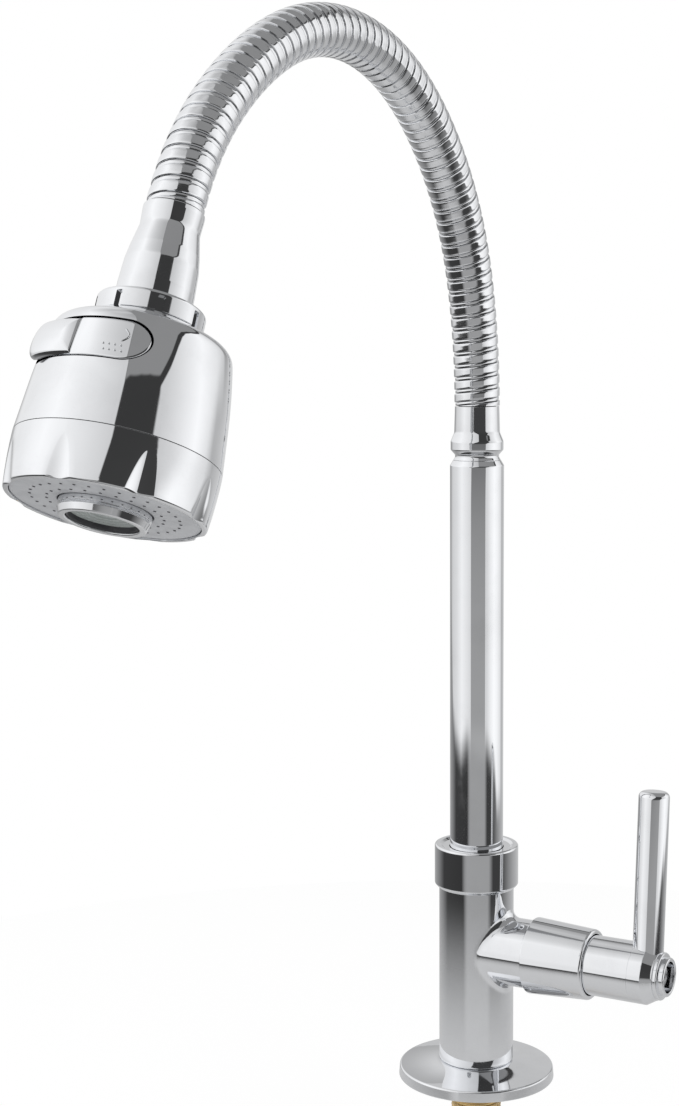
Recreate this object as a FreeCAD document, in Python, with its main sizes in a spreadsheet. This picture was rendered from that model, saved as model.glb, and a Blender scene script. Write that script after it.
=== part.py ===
# Spring spout kitchen tap: deck-mounted, with a spiral-strip gooseneck and a two-spray head.
# Millimetres. +Z is up, the origin lies on the riser's axis at the deck,
# the spout reaches towards -Y and the valve with its lever stands out towards +X.
import FreeCAD
import Part
import math
import os
import Sketcher

doc = FreeCAD.newDocument("spring_spout_tap")
sheet = doc.addObject("Spreadsheet::Sheet", "Sizes")

# Driving dimensions: name, value, what it measures
SIZES = [
    # Clearances
    ("run_gap", 0.06, "radial gap of a running fit"),
    ("seat_gap", 0.1, "gap between fixed pieces that slip together"),
    ("free_gap", 0.35, "gap between curved faces that must not touch"),
    ("panel_gap", 0.8, "gap round the rocker in its window"),
    # Deck flange and what lies under the deck
    ("flange_radius", 32.5, "flange, outside"),
    ("flange_rim_height", 4.4, "upright rim of the flange"),
    ("flange_rim_draft", 0.4, "how far the rim leans in"),
    ("flange_height", 7.0, "flange at the column"),
    ("flange_wall", 1.8, "flange, wall thickness"),
    ("flange_dish_radius", 23.5, "upper face, where its slope changes"),
    ("flange_dish_height", 5.3, "upper face, at that radius"),
    ("gasket_inner_radius", 18.4, "deck seal, inside"),
    ("shank_radius", 10.45, "thread of the shank, outside"),
    ("shank_bore_radius", 5.5, "waterway in the shank"),
    ("shank_depth", 60.0, "shank below the deck"),
    ("shank_seat_depth", 14.0, "shank inside the column"),
    ("inlet_thread_length", 16.0, "free thread for the supply hose"),
    ("relief_width", 3.0, "relief groove above the free thread"),
    ("relief_radius", 9.5, "relief groove, bottom"),
    ("deck_thickness", 30.0, "deck that the tap is drawn on"),
    ("washer_radius", 17.0, "washer under the deck, outside"),
    ("washer_thickness", 3.0, "washer under the deck"),
    ("backnut_flats", 30.0, "nut under the deck, across flats"),
    ("backnut_height", 8.0, "nut under the deck"),
    # Column with the branch
    ("column_radius", 15.5, "column, outside"),
    ("column_top", 81.5, "shoulder under the collar"),
    ("foot_step", 1.0, "how much the foot is narrower than the column"),
    ("foot_chamfer", 0.8, "chamfer at the column's lower edge"),
    ("neck_step", 1.0, "how much the threaded neck is narrower"),
    ("neck_height", 13.5, "threaded neck above the shoulder"),
    ("riser_bore_radius", 12.6, "bore that takes the riser"),
    ("riser_bore_floor", 70.0, "floor of the pocket under the riser"),
    ("ledge_width", 2.4, "ledge that the riser stands on"),
    ("inlet_channel_radius", 4.5, "rising inlet channel"),
    ("inlet_channel_offset", 4.0, "inlet channel, off the axis"),
    ("outlet_channel_radius", 2.4, "channel from the valve to the riser"),
    ("outlet_channel_offset", 10.0, "outlet channel, off the axis"),
    ("branch_height", 55.5, "branch axis above the deck"),
    ("stub_radius", 14.0, "cast stub of the branch"),
    ("stub_reach", 26.6, "end of the stub"),
    ("stub_fillet", 3.0, "fillet between column and stub"),
    ("nose_radius", 13.1, "nose of the stub inside the sleeve"),
    ("nose_reach", 38.0, "end of the nose"),
    ("seat_reach", 5.0, "valve seat, from the riser's axis"),
    ("seat_port_radius", 5.0, "port in the valve seat"),
    ("valve_bore_radius", 10.0, "bore for the headwork"),
    # Headwork
    ("seal_thickness", 2.5, "seal at the seat"),
    ("disc_radius", 8.1, "ceramic discs"),
    ("disc_thickness", 3.0, "each ceramic disc"),
    ("disc_port_radius", 5.4, "ports in the discs reach this far"),
    ("disc_web", 1.6, "web between the ports"),
    ("headwork_wall", 1.6, "wall of the headwork"),
    ("window_width", 9.0, "side windows of the headwork"),
    ("window_length", 4.0, "side windows, along the axis"),
    ("headwork_flange_radius", 12.3, "flange on the nose"),
    ("headwork_flange_width", 4.0, "flange, along the axis"),
    ("headwork_nose_radius", 7.0, "guide for the spindle"),
    ("headwork_nose_length", 7.0, "guide, along the axis"),
    ("spindle_radius", 5.0, "spindle"),
    ("spindle_head_length", 5.0, "driving head of the spindle"),
    ("spindle_reach", 62.0, "outer end of the spindle"),
    ("tang_width", 4.0, "tang that turns the disc"),
    ("tang_height", 1.2, "tang, along the axis"),
    ("spindle_ring_radius", 0.65, "section of the spindle's O-rings"),
    ("spindle_ring_reach", 28.0, "first O-ring on the spindle"),
    ("spindle_ring_pitch", 5.0, "from one O-ring to the next"),
    # Sleeve, hub and lever
    ("sleeve_wide_radius", 15.6, "sleeve at the stub"),
    ("sleeve_narrow_radius", 14.2, "sleeve at its outer end"),
    ("sleeve_reach", 52.7, "outer end of the sleeve"),
    ("sleeve_round", 1.1, "rounding of the sleeve's outer rim"),
    ("hub_radius", 12.1, "hub of the handle"),
    ("hub_start", 44.5, "inner end of the hub"),
    ("hub_shoulder", 77.0, "where the hub's end chamfer begins"),
    ("hub_chamfer_reach", 81.3, "where that chamfer ends"),
    ("hub_rim_radius", 9.6, "hub after the chamfer"),
    ("hub_boss_radius", 7.8, "end ring of the hub"),
    ("hub_reach", 85.3, "outer end of the hub"),
    ("hub_recess_radius", 6.2, "recess in the hub's end"),
    ("hub_recess_depth", 5.0, "recess, depth"),
    ("hub_bore_depth", 6.0, "hollow over the headwork's guide"),
    ("screw_radius", 2.0, "handle screw, thread"),
    ("screw_head_radius", 4.2, "handle screw, head"),
    ("screw_head_height", 2.4, "handle screw, head"),
    ("screw_key_width", 3.0, "hexagon key of the screw, across flats"),
    ("screw_length", 24.0, "handle screw, thread"),
    ("lever_lean", 4.4, "how far the lever leans back when shut, degrees"),
    ("lever_radius", 6.2, "lever"),
    ("lever_reach", 75.8, "lever's axis, from the riser's axis"),
    ("lever_seat", 9.0, "lever's seat above the branch axis"),
    ("lever_top", 73.6, "lever's top above the branch axis"),
    ("lever_round", 2.6, "rounding of the lever's top"),
    ("spigot_radius", 3.5, "lever's spigot"),
    ("spigot_length", 5.0, "lever's spigot"),
    # Collar and riser
    ("collar_radius", 17.35, "collar, outside"),
    ("collar_top", 99.5, "top of the collar"),
    ("collar_web", 3.0, "web of the collar over the bush"),
    ("collar_chamfer", 0.9, "chamfers of the collar"),
    ("collar_dish", 1.3, "depth of the dish round the riser"),
    ("riser_radius", 11.0, "riser tube, outside"),
    ("riser_wall", 1.4, "riser tube, wall"),
    ("riser_tail_wall", 2.6, "wall of the tail with the grooves"),
    ("riser_bottom", 72.0, "lower end of the riser"),
    ("riser_top", 257.0, "foot of the rim at the riser's top"),
    ("riser_rim_height", 2.1, "chamfered rim"),
    ("riser_rim_step", 1.25, "how far the rim draws in"),
    ("riser_ring_radius", 0.95, "section of the riser's O-rings"),
    ("riser_ring_height", 76.0, "lower O-ring of the riser"),
    ("riser_ring_pitch", 4.0, "from one O-ring to the next"),
    ("riser_groove_depth", 0.5, "O-ring and clip grooves"),
    ("clip_height", 83.2, "underside of the clip"),
    ("clip_thickness", 1.0, "clip that holds the riser"),
    ("clip_opening", 60.0, "opening of the clip, degrees"),
    ("bush_length", 10.0, "riser bush below its flange"),
    ("bush_flange", 1.4, "flange of the bush"),
    # Ferrule between riser and gooseneck
    ("ferrule_waist_radius", 8.95, "waist above the riser's rim"),
    ("ferrule_waist_low", 260.4, "bottom of the waist"),
    ("ferrule_waist_top", 261.3, "top of the waist"),
    ("ferrule_bulge_radius", 10.8, "bulge of the ferrule"),
    ("ferrule_bulge_low", 263.3, "bulge, lower edge"),
    ("ferrule_bulge_high", 266.8, "bulge, upper edge"),
    ("ferrule_neck_radius", 9.3, "ferrule above the bulge"),
    ("ferrule_top_radius", 9.0, "ferrule under the gooseneck"),
    ("ferrule_neck_low", 270.3, "foot of the ferrule's neck"),
    ("ferrule_top", 281.0, "where the gooseneck begins"),
    ("ferrule_spigot", 10.0, "ferrule inside the riser"),
    ("ferrule_socket", 8.0, "depth of the liner's socket"),
    # Gooseneck: five bends, one after the other, with these radii and angles
    ("bend_a_radius", 187.7, "first bend"),
    ("bend_a_angle", 15.5, "first bend, degrees"),
    ("bend_b_radius", 119.9, "second bend"),
    ("bend_b_angle", 39.2, "second bend, degrees"),
    ("bend_c_radius", 100.2, "third bend"),
    ("bend_c_angle", 59.1, "third bend, degrees"),
    ("bend_d_radius", 136.8, "fourth bend"),
    ("bend_d_angle", 18.8, "fourth bend, degrees"),
    ("bend_e_radius", 99.7, "fifth bend"),
    ("bend_e_angle", 24.1, "fifth bend, degrees"),
    ("strip_turns", 62, "turns of the spiral strip"),
    ("strip_radius", 9.25, "strip, outside"),
    ("strip_thickness", 1.3, "strip, thickness"),
    ("strip_groove", 1.1, "groove between two turns"),
    ("strip_draft", 0.25, "how far each flank leans in"),
    ("strip_end", 0.3, "gap between the strip and the end fittings"),
    ("liner_radius", 7.55, "liner under the strip, outside"),
    ("liner_wall", 0.9, "liner, wall"),
    ("hose_radius", 5.0, "water hose, outside"),
    ("hose_bore_radius", 3.4, "water hose, bore"),
    ("barb_bore_radius", 2.2, "bore of the hose barbs"),
    ("barb_length", 12.0, "barb inside the hose"),
    ("barb_base", 6.0, "base of a barb"),
    # Sleeve and union at the head; stations run along the head's axis from the gooseneck's end
    ("bell_top_radius", 9.7, "neck sleeve at the gooseneck"),
    ("bell_waist_radius", 9.4, "neck sleeve, waist"),
    ("bell_waist_station", 7.5, "neck sleeve, waist"),
    ("bell_flare_radius", 11.5, "neck sleeve after the flare"),
    ("bell_flare_station", 16.5, "neck sleeve after the flare"),
    ("bell_foot_radius", 12.0, "neck sleeve at the union ring"),
    ("bell_flange_radius", 13.4, "flange held by the union ring"),
    ("bell_flange_thickness", 2.0, "flange held by the union ring"),
    ("ring_station", 29.0, "top of the union ring"),
    ("ring_radius", 16.9, "union ring, outside"),
    ("ring_web", 2.0, "web of the union ring"),
    ("ring_round", 1.0, "rounding of the ring's top edge"),
    ("ring_notch_width", 4.2, "notches in the ring's skirt"),
    ("ring_notch_depth", 0.8, "notches in the ring's skirt"),
    ("ring_notches", 8, "number of notches"),
    ("union_gasket", 1.2, "gasket in the union"),
    # Head
    ("shell_station", 35.6, "top of the head shell"),
    ("shell_top_radius", 27.9, "head shell, corner under its conical top"),
    ("shell_corner_station", 43.3, "head shell, that corner"),
    ("shell_low_radius", 31.5, "head shell at the seam"),
    ("shell_shoulder", 7.5, "round of that corner"),
    ("shell_wall", 2.2, "head shell, wall"),
    ("seam_station", 79.8, "seam between shell and bezel"),
    ("seam_gap", 0.25, "gap in the seam"),
    ("bezel_station", 97.2, "lower rim of the bezel"),
    ("bezel_low_radius", 31.2, "bezel at its lower rim"),
    ("bezel_wall", 2.4, "bezel, wall"),
    ("bezel_round", 1.2, "rounding of the bezel's rim"),
    ("flutes", 8, "finger flutes round the bezel"),
    ("flute_offset", 7.8, "flutes, turned round the bezel from its front, degrees"),
    ("flute_radius", 5.0, "flute, section"),
    ("flute_depth", 1.5, "flute at the rim"),
    ("flute_length", 13.0, "flute, from the rim up"),
    ("face_thickness", 2.2, "spray face"),
    ("face_inset", 0.9, "spray face behind the rim"),
    ("nozzle_radius", 0.6, "nozzles"),
    ("outer_nozzles", 32, "nozzles in the outer ring"),
    ("outer_nozzle_ring", 22.8, "outer ring of nozzles"),
    ("inner_nozzles", 24, "nozzles in the inner ring"),
    ("inner_nozzle_ring", 17.8, "inner ring of nozzles"),
    ("aerator_radius", 14.3, "aerator ring, outside"),
    ("aerator_station", 101.3, "lower end of the aerator ring"),
    ("aerator_step", 0.7, "step half way down the aerator ring"),
    ("aerator_mouth_radius", 11.2, "mouth of the aerator"),
    ("aerator_thread_radius", 11.9, "thread of the aerator"),
    ("aerator_insert_height", 3.6, "aerator insert"),
    ("aerator_gasket", 1.2, "gasket over the aerator insert"),
    ("mesh_ring_width", 0.9, "rings of the aerator insert"),
    ("body_radius", 19.5, "diverter body"),
    ("body_chamfer", 4.0, "upper edge, clear of the shell's inner round"),
    ("body_flange_height", 5.0, "flange that the bezel screws to"),
    ("body_bore_radius", 5.0, "inlet bore of the diverter body"),
    # Rocker and spool
    ("rocker_station", 53.4, "middle of the rocker"),
    ("rocker_height", 12.2, "rocker, along the head's axis"),
    ("rocker_half_width", 21.2, "rocker, from its middle to each end"),
    ("rocker_thickness", 2.1, "rocker plate"),
    ("rocker_offset", 5.5, "rocker, turned round the head from its front, degrees"),
    ("rocker_tilt", 12.0, "travel of the rocker, degrees"),
    ("pivot_radius", 23.2, "rocker pivot, from the head's axis"),
    ("pin_radius", 1.2, "rocker pin"),
    ("hub_wall", 1.4, "wall of the rocker's pivot boss"),
    ("hub_length", 8.0, "rocker's pivot boss"),
    ("ear_thickness", 2.0, "ears that hold the pin"),
    ("ear_half_width", 1.9, "ears, half their width"),
    ("finger_half_width", 1.2, "finger that moves the spool"),
    ("finger_height", 4.0, "finger, along the head's axis"),
    ("spool_axis", 11.0, "spool, from the head's axis"),
    ("spool_radius", 3.4, "lands of the spool"),
    ("spool_core_radius", 1.5, "core of the spool"),
    ("spool_length", 26.0, "spool"),
    ("spool_slot", 3.3, "slot for the finger"),
    ("spool_ring_radius", 0.6, "section of the spool's O-rings"),
]

for row, (alias, number, note) in enumerate(SIZES, 1):
    sheet.set("A%d" % row, alias)
    sheet.set("B%d" % row, str(number))
    sheet.set("C%d" % row, note)
    sheet.setAlias("B%d" % row, alias)
doc.recompute()


class Size:
    """A length with the spreadsheet formula that it comes from."""

    def __init__(self, value, formula):
        self.value = float(value)
        self.formula = formula

    def __add__(self, other):
        return Size(self.value + value(other), "(%s + %s)" % (self.formula, formula(other)))

    def __radd__(self, other):
        return Size(value(other) + self.value, "(%s + %s)" % (formula(other), self.formula))

    def __sub__(self, other):
        return Size(self.value - value(other), "(%s - %s)" % (self.formula, formula(other)))

    def __rsub__(self, other):
        return Size(value(other) - self.value, "(%s - %s)" % (formula(other), self.formula))

    def __mul__(self, other):
        return Size(self.value * value(other), "(%s * %s)" % (self.formula, formula(other)))

    def __rmul__(self, other):
        return self * other

    def __truediv__(self, other):
        return Size(self.value / value(other), "(%s / %s)" % (self.formula, formula(other)))

    def __neg__(self):
        return Size(-self.value, "(0 - %s)" % self.formula)


def value(length):
    """The number of a Size or of a plain number."""
    return length.value if isinstance(length, Size) else float(length)


def formula(length):
    """The formula of a Size or of a plain number."""
    return length.formula if isinstance(length, Size) else repr(float(length))


class Sizes:
    """Reads a named cell of the sheet."""

    def __getattr__(self, alias):
        return Size(sheet.get(alias), "Sizes." + alias)


d = Sizes()
pieces = {}


def bind(thing, prop, length):
    """Ties a property to the sheet."""
    thing.setExpression(prop, formula(length))


def place(thing, x=0, y=0, z=0, rotation=None):
    """Sets a placement whose position follows the sheet."""
    turn = rotation if rotation else FreeCAD.Rotation()
    thing.Placement = FreeCAD.Placement(FreeCAD.Vector(value(x), value(y), value(z)), turn)
    for axis, length in (("x", x), ("y", y), ("z", z)):
        if isinstance(length, Size):
            bind(thing, "Placement.Base." + axis, length)


def new_body(name):
    """A body that becomes one piece of the tap."""
    body = doc.addObject("PartDesign::Body", name)
    body.Label = name
    pieces[name] = body
    return body


def outline(body, name, corners, plane="XZ_Plane"):
    """A closed sketch of straight runs whose corners follow the sheet."""
    sketch = body.newObject("Sketcher::SketchObject", name)
    support = [feature for feature in body.Origin.OriginFeatures if feature.Role == plane][0]
    sketch.AttachmentSupport = (support, [""])
    sketch.MapMode = "FlatFace"
    points = [FreeCAD.Vector(value(across), value(up), 0) for across, up in corners]
    count = len(points)
    for index in range(count):
        sketch.addGeometry(Part.LineSegment(points[index], points[(index + 1) % count]), False)
    for index in range(count):
        sketch.addConstraint(Sketcher.Constraint("Coincident", index, 2, (index + 1) % count, 1))
    for index, corner in enumerate(corners):
        for kind, length, axis in (("DistanceX", corner[0], -2), ("DistanceY", corner[1], -1)):
            if value(length) == 0:
                sketch.addConstraint(Sketcher.Constraint("PointOnObject", index, 1, axis))
                continue
            held = sketch.addConstraint(Sketcher.Constraint(kind, index, 1, value(length)))
            bind(sketch, "Constraints[%d]" % held, length)
    return sketch


def turned(name, corners):
    """A piece turned about its own Z axis from an outline of (radius, height) corners."""
    body = new_body(name)
    sketch = outline(body, name + "_outline", corners)
    turn = body.newObject("PartDesign::Revolution", name + "_turn")
    turn.Profile = sketch
    turn.ReferenceAxis = (sketch, ["V_Axis"])
    turn.Angle = 360
    sketch.Visibility = False
    doc.recompute()
    return body


ALONG_X = FreeCAD.Rotation(FreeCAD.Vector(0, 1, 0), 90)
UPRIGHT = FreeCAD.Rotation(FreeCAD.Vector(1, 0, 0), 90)


def cylinder(body, name, radius, height, x=0, y=0, z=0, rotation=None, cut=True):
    """Cuts a round hole in a body, or adds a round boss."""
    kind = "Subtractive" if cut else "Additive"
    tool = body.newObject("PartDesign::%sCylinder" % kind, name)
    bind(tool, "Radius", radius)
    bind(tool, "Height", height)
    place(tool, x, y, z, rotation)
    doc.recompute()
    return tool


def box(body, name, length, width, height, x=0, y=0, z=0, cut=True):
    """Cuts or adds a box whose lowest corner is given."""
    kind = "Subtractive" if cut else "Additive"
    tool = body.newObject("PartDesign::%sBox" % kind, name)
    bind(tool, "Length", length)
    bind(tool, "Width", width)
    bind(tool, "Height", height)
    place(tool, x, y, z)
    doc.recompute()
    return tool


def repeat_round(body, name, feature, count):
    """Repeats a feature evenly round the body's Z axis."""
    pattern = body.newObject("PartDesign::PolarPattern", name)
    pattern.Originals = [feature]
    axis = [item for item in body.Origin.OriginFeatures if item.Role == "Z_Axis"][0]
    pattern.Axis = (axis, [""])
    pattern.Angle = 360
    bind(pattern, "Occurrences", count)
    body.Tip = pattern
    doc.recompute()
    return pattern


def ring_edges(shape, *rings):
    """Names of the circular edges about Z that have the given radius and height."""
    names = []
    for number, edge in enumerate(shape.Edges, 1):
        if not isinstance(edge.Curve, Part.Circle):
            continue
        centre = edge.Curve.Center
        for radius, height in rings:
            same_size = abs(edge.Curve.Radius - value(radius)) < 1e-4
            same_height = abs(centre.z - value(height)) < 1e-4
            if same_size and same_height and math.hypot(centre.x, centre.y) < 1e-4:
                names.append("Edge%d" % number)
    return names


def finish_edges(body, name, kind, size, edges):
    """Rounds or chamfers named edges of the body's last feature."""
    dressing = body.newObject("PartDesign::" + kind, name)
    dressing.Base = (body.Tip if body.Tip is not dressing else body.Group[-2], edges)
    bind(dressing, "Radius" if kind == "Fillet" else "Size", size)
    body.Tip = dressing
    doc.recompute()
    return dressing


def round_rings(body, name, radius, *rings):
    """Rounds circular edges of a turned piece."""
    return finish_edges(body, name, "Fillet", radius, ring_edges(body.Shape, *rings))


def piece(name, shape, placement=None):
    """A piece whose shape is made from the sheet's values directly."""
    thing = doc.addObject("Part::Feature", name)
    thing.Label = name
    thing.Shape = shape
    if placement:
        thing.Placement = placement
    pieces[name] = thing
    return thing


def rings(name, radius, section, heights):
    """O-rings of one size at several heights, as one group. Each is an eight-sided section turned."""
    turned_rings = []
    for number, height in enumerate(heights, 1):
        profile = doc.addObject("Part::RegularPolygon", "%s_section_%d" % (name, number))
        profile.Polygon = 8
        bind(profile, "Circumradius", section)
        place(profile, x=radius, z=height, rotation=UPRIGHT)
        ring = doc.addObject("Part::Revolution", "%s_%d" % (name, number))
        ring.Source = profile
        ring.Axis = FreeCAD.Vector(0, 0, 1)
        ring.Angle = 360
        ring.Solid = True
        turned_rings.append(ring)
    group = doc.addObject("Part::Compound", name)
    group.Label = name
    group.Links = turned_rings
    pieces[name] = group
    doc.recompute()
    return group


def on_branch(thing):
    """Lays a turned piece on the branch axis: its Z runs along +X."""
    place(thing, z=d.branch_height, rotation=ALONG_X)
    doc.recompute()
    return thing


# Deck flange, its seal, and the shank with washer and nut under the deck
foot_radius = d.column_radius - d.foot_step
recess_ceiling = d.flange_rim_height - d.flange_wall
gasket_outer_radius = d.flange_radius - d.flange_wall - d.seat_gap

escutcheon = turned("escutcheon", [
    (foot_radius + d.seat_gap, 0),
    (d.gasket_inner_radius - d.seat_gap, 0),
    (d.gasket_inner_radius - d.seat_gap, recess_ceiling),
    (gasket_outer_radius + d.seat_gap, recess_ceiling),
    (gasket_outer_radius + d.seat_gap, 0),
    (d.flange_radius, 0),
    (d.flange_radius - d.flange_rim_draft, d.flange_rim_height),
    (d.flange_dish_radius, d.flange_dish_height),
    (d.column_radius, d.flange_height),
    (foot_radius + d.seat_gap, d.flange_height),
])
round_rings(escutcheon, "escutcheon_rim", d.foot_chamfer,
            (d.flange_radius - d.flange_rim_draft, d.flange_rim_height))

turned("escutcheon_gasket", [
    (d.gasket_inner_radius, 0),
    (gasket_outer_radius, 0),
    (gasket_outer_radius, recess_ceiling),
    (d.gasket_inner_radius, recess_ceiling),
])

relief_low = d.inlet_thread_length - d.shank_depth
inlet_shank = turned("inlet_shank", [
    (d.shank_bore_radius, -d.shank_depth),
    (d.shank_radius, -d.shank_depth),
    (d.shank_radius, relief_low),
    (d.relief_radius, relief_low),
    (d.relief_radius, relief_low + d.relief_width),
    (d.shank_radius, relief_low + d.relief_width),
    (d.shank_radius, d.shank_seat_depth),
    (d.shank_bore_radius, d.shank_seat_depth),
])

washer_low = -d.deck_thickness - d.washer_thickness
turned("deck_washer", [
    (d.shank_radius + d.free_gap, washer_low),
    (d.washer_radius, washer_low),
    (d.washer_radius, -d.deck_thickness),
    (d.shank_radius + d.free_gap, -d.deck_thickness),
])

backnut_blank = doc.addObject("Part::Prism", "backnut_blank")
backnut_blank.Polygon = 6
bind(backnut_blank, "Circumradius", d.backnut_flats / math.sqrt(3))
bind(backnut_blank, "Height", d.backnut_height)
place(backnut_blank, z=washer_low - d.backnut_height)
backnut_bore = doc.addObject("Part::Cylinder", "backnut_bore")
bind(backnut_bore, "Radius", d.shank_radius + d.seat_gap)
bind(backnut_bore, "Height", d.backnut_height + 2)
place(backnut_bore, z=washer_low - d.backnut_height - 1)
backnut = doc.addObject("Part::Cut", "backnut")
backnut.Base = backnut_blank
backnut.Tool = backnut_bore
backnut.Label = "backnut"
pieces["backnut"] = backnut

# Cast body: column with its threaded neck, branch stub and waterways
neck_radius = d.column_radius - d.neck_step
neck_top = d.column_top + d.neck_height
valve_body = turned("valve_body", [
    (0, 0),
    (foot_radius, 0),
    (foot_radius, d.flange_height),
    (d.column_radius - d.foot_chamfer, d.flange_height),
    (d.column_radius, d.flange_height + d.foot_chamfer),
    (d.column_radius, d.column_top),
    (neck_radius, d.column_top),
    (neck_radius, neck_top),
    (0, neck_top),
])
cylinder(valve_body, "branch_stub", d.stub_radius, d.stub_reach,
         z=d.branch_height, rotation=ALONG_X, cut=False)


def saddle_edges(shape):
    """Edges where the branch stub meets the column."""
    names = []
    for number, edge in enumerate(shape.Edges, 1):
        middle = edge.valueAt(edge.FirstParameter + 0.37 * (edge.LastParameter - edge.FirstParameter))
        on_column = abs(math.hypot(middle.x, middle.y) - d.column_radius.value) < 1e-3
        from_axis = math.hypot(middle.y, middle.z - d.branch_height.value)
        if on_column and abs(from_axis - d.stub_radius.value) < 1e-3:
            names.append("Edge%d" % number)
    return names


finish_edges(valve_body, "branch_fillet", "Fillet", d.stub_fillet, saddle_edges(valve_body.Shape))
cylinder(valve_body, "branch_nose", d.nose_radius, d.nose_reach,
         z=d.branch_height, rotation=ALONG_X, cut=False)
cylinder(valve_body, "riser_bore", d.riser_bore_radius, neck_top - d.riser_bottom + 1,
         z=d.riser_bottom - d.run_gap)
cylinder(valve_body, "outlet_pocket", d.riser_bore_radius - d.ledge_width,
         d.riser_bottom - d.riser_bore_floor + 1, z=d.riser_bore_floor)
cylinder(valve_body, "shank_bore", d.shank_radius + d.run_gap, d.shank_seat_depth + 1, z=-1)
cylinder(valve_body, "inlet_channel", d.inlet_channel_radius, d.branch_height - d.shank_seat_depth + 1,
         x=-d.inlet_channel_offset, z=d.shank_seat_depth - 1)
cylinder(valve_body, "seat_port", d.seat_port_radius, d.inlet_channel_offset + d.seat_reach + 1,
         x=-d.inlet_channel_offset, z=d.branch_height, rotation=ALONG_X)
cylinder(valve_body, "valve_bore", d.valve_bore_radius, d.nose_reach - d.seat_reach + 1,
         x=d.seat_reach, z=d.branch_height, rotation=ALONG_X)
cylinder(valve_body, "outlet_channel", d.outlet_channel_radius,
         d.riser_bore_floor - d.branch_height - d.valve_bore_radius / 2,
         x=d.outlet_channel_offset, z=d.branch_height + d.valve_bore_radius / 2)

# Headwork on the branch axis: seal, two ceramic discs, housing and spindle
disc_low = d.seat_reach + d.seal_thickness
disc_middle = disc_low + d.disc_thickness
disc_high = disc_middle + d.disc_thickness
housing_radius = d.valve_bore_radius - d.seat_gap
chamber_radius = housing_radius - d.headwork_wall
head_top = disc_high + d.spindle_head_length
housing_flange_top = d.nose_reach + d.headwork_flange_width
guide_reach = housing_flange_top + d.headwork_nose_length

on_branch(turned("seat_seal", [
    (d.seat_port_radius, d.seat_reach),
    (housing_radius, d.seat_reach),
    (housing_radius, disc_low),
    (d.seat_port_radius, disc_low),
]))

cartridge_housing = turned("cartridge_housing", [
    (chamber_radius, disc_low),
    (housing_radius, disc_low),
    (housing_radius, d.nose_reach),
    (d.headwork_flange_radius, d.nose_reach),
    (d.headwork_flange_radius, housing_flange_top),
    (d.headwork_nose_radius, housing_flange_top),
    (d.headwork_nose_radius, guide_reach),
    (d.spindle_radius + d.run_gap, guide_reach),
    (d.spindle_radius + d.run_gap, head_top + d.seat_gap),
    (chamber_radius, head_top + d.seat_gap),
])
box(cartridge_housing, "side_windows", 2 * d.valve_bore_radius, d.window_width, d.window_length,
    x=-d.valve_bore_radius, y=-d.window_width / 2, z=disc_middle)
on_branch(cartridge_housing)


def disc(name, low):
    """A ceramic disc with its two ports."""
    high = low + d.disc_thickness - d.seat_gap
    body = turned(name, [(0, low), (d.disc_radius, low), (d.disc_radius, high), (0, high)])
    for side, start in (("upper", d.disc_web / 2), ("lower", -(d.disc_port_radius / 1.5))):
        width = d.disc_port_radius / 1.5 - d.disc_web / 2
        box(body, "%s_%s_port" % (name, side), d.disc_port_radius, width, d.disc_thickness + 2,
            x=-d.disc_port_radius / 2, y=start, z=low - 1)
    return body


on_branch(disc("fixed_ceramic_disc", disc_low))
moving_disc = disc("moving_ceramic_disc", disc_middle)
box(moving_disc, "tang_slot", 2 * d.disc_radius + 2, d.tang_width + d.seat_gap, d.tang_height + 1,
    x=-d.disc_radius - 1, y=-(d.tang_width + d.seat_gap) / 2, z=disc_high - d.tang_height)
on_branch(moving_disc)

spindle_groove = d.spindle_radius - 2 * d.spindle_ring_radius
ring_low = d.spindle_ring_reach - d.spindle_ring_radius - d.seat_gap
ring_high = d.spindle_ring_reach + d.spindle_ring_radius + d.seat_gap
spindle = turned("spindle", [
    (0, disc_high),
    (chamber_radius - d.seat_gap, disc_high),
    (chamber_radius - d.seat_gap, head_top),
    (d.spindle_radius, head_top),
    (d.spindle_radius, ring_low),
    (spindle_groove, ring_low),
    (spindle_groove, ring_high),
    (d.spindle_radius, ring_high),
    (d.spindle_radius, ring_low + d.spindle_ring_pitch),
    (spindle_groove, ring_low + d.spindle_ring_pitch),
    (spindle_groove, ring_high + d.spindle_ring_pitch),
    (d.spindle_radius, ring_high + d.spindle_ring_pitch),
    (d.spindle_radius, d.spindle_reach),
    (0, d.spindle_reach),
])
box(spindle, "tang", 2 * d.spindle_radius, d.tang_width, d.tang_height - d.seat_gap + 1,
    x=-d.spindle_radius, y=-d.tang_width / 2, z=disc_high - d.tang_height + d.seat_gap, cut=False)
screw_low = d.hub_reach - d.hub_recess_depth - d.screw_length
cylinder(spindle, "screw_thread", d.screw_radius + d.run_gap, d.spindle_reach - screw_low + 2,
         z=screw_low - 1)
on_branch(spindle)

rings("spindle_o_rings", d.spindle_radius - d.spindle_ring_radius, d.spindle_ring_radius,
      [d.spindle_ring_reach, d.spindle_ring_reach + d.spindle_ring_pitch])
on_branch(pieces["spindle_o_rings"])

# Conical sleeve over the branch, hub, screw and lever
sleeve_step = d.nose_reach + d.seat_gap
branch_sleeve = turned("branch_sleeve", [
    (d.nose_radius + d.seat_gap, d.stub_reach),
    (d.sleeve_wide_radius, d.stub_reach),
    (d.sleeve_narrow_radius, d.sleeve_reach),
    (d.hub_radius + d.free_gap, d.sleeve_reach),
    (d.hub_radius + d.free_gap, sleeve_step),
    (d.nose_radius + d.seat_gap, sleeve_step),
])
round_rings(branch_sleeve, "sleeve_rim", d.sleeve_round, (d.sleeve_narrow_radius, d.sleeve_reach))
on_branch(branch_sleeve)

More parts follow.
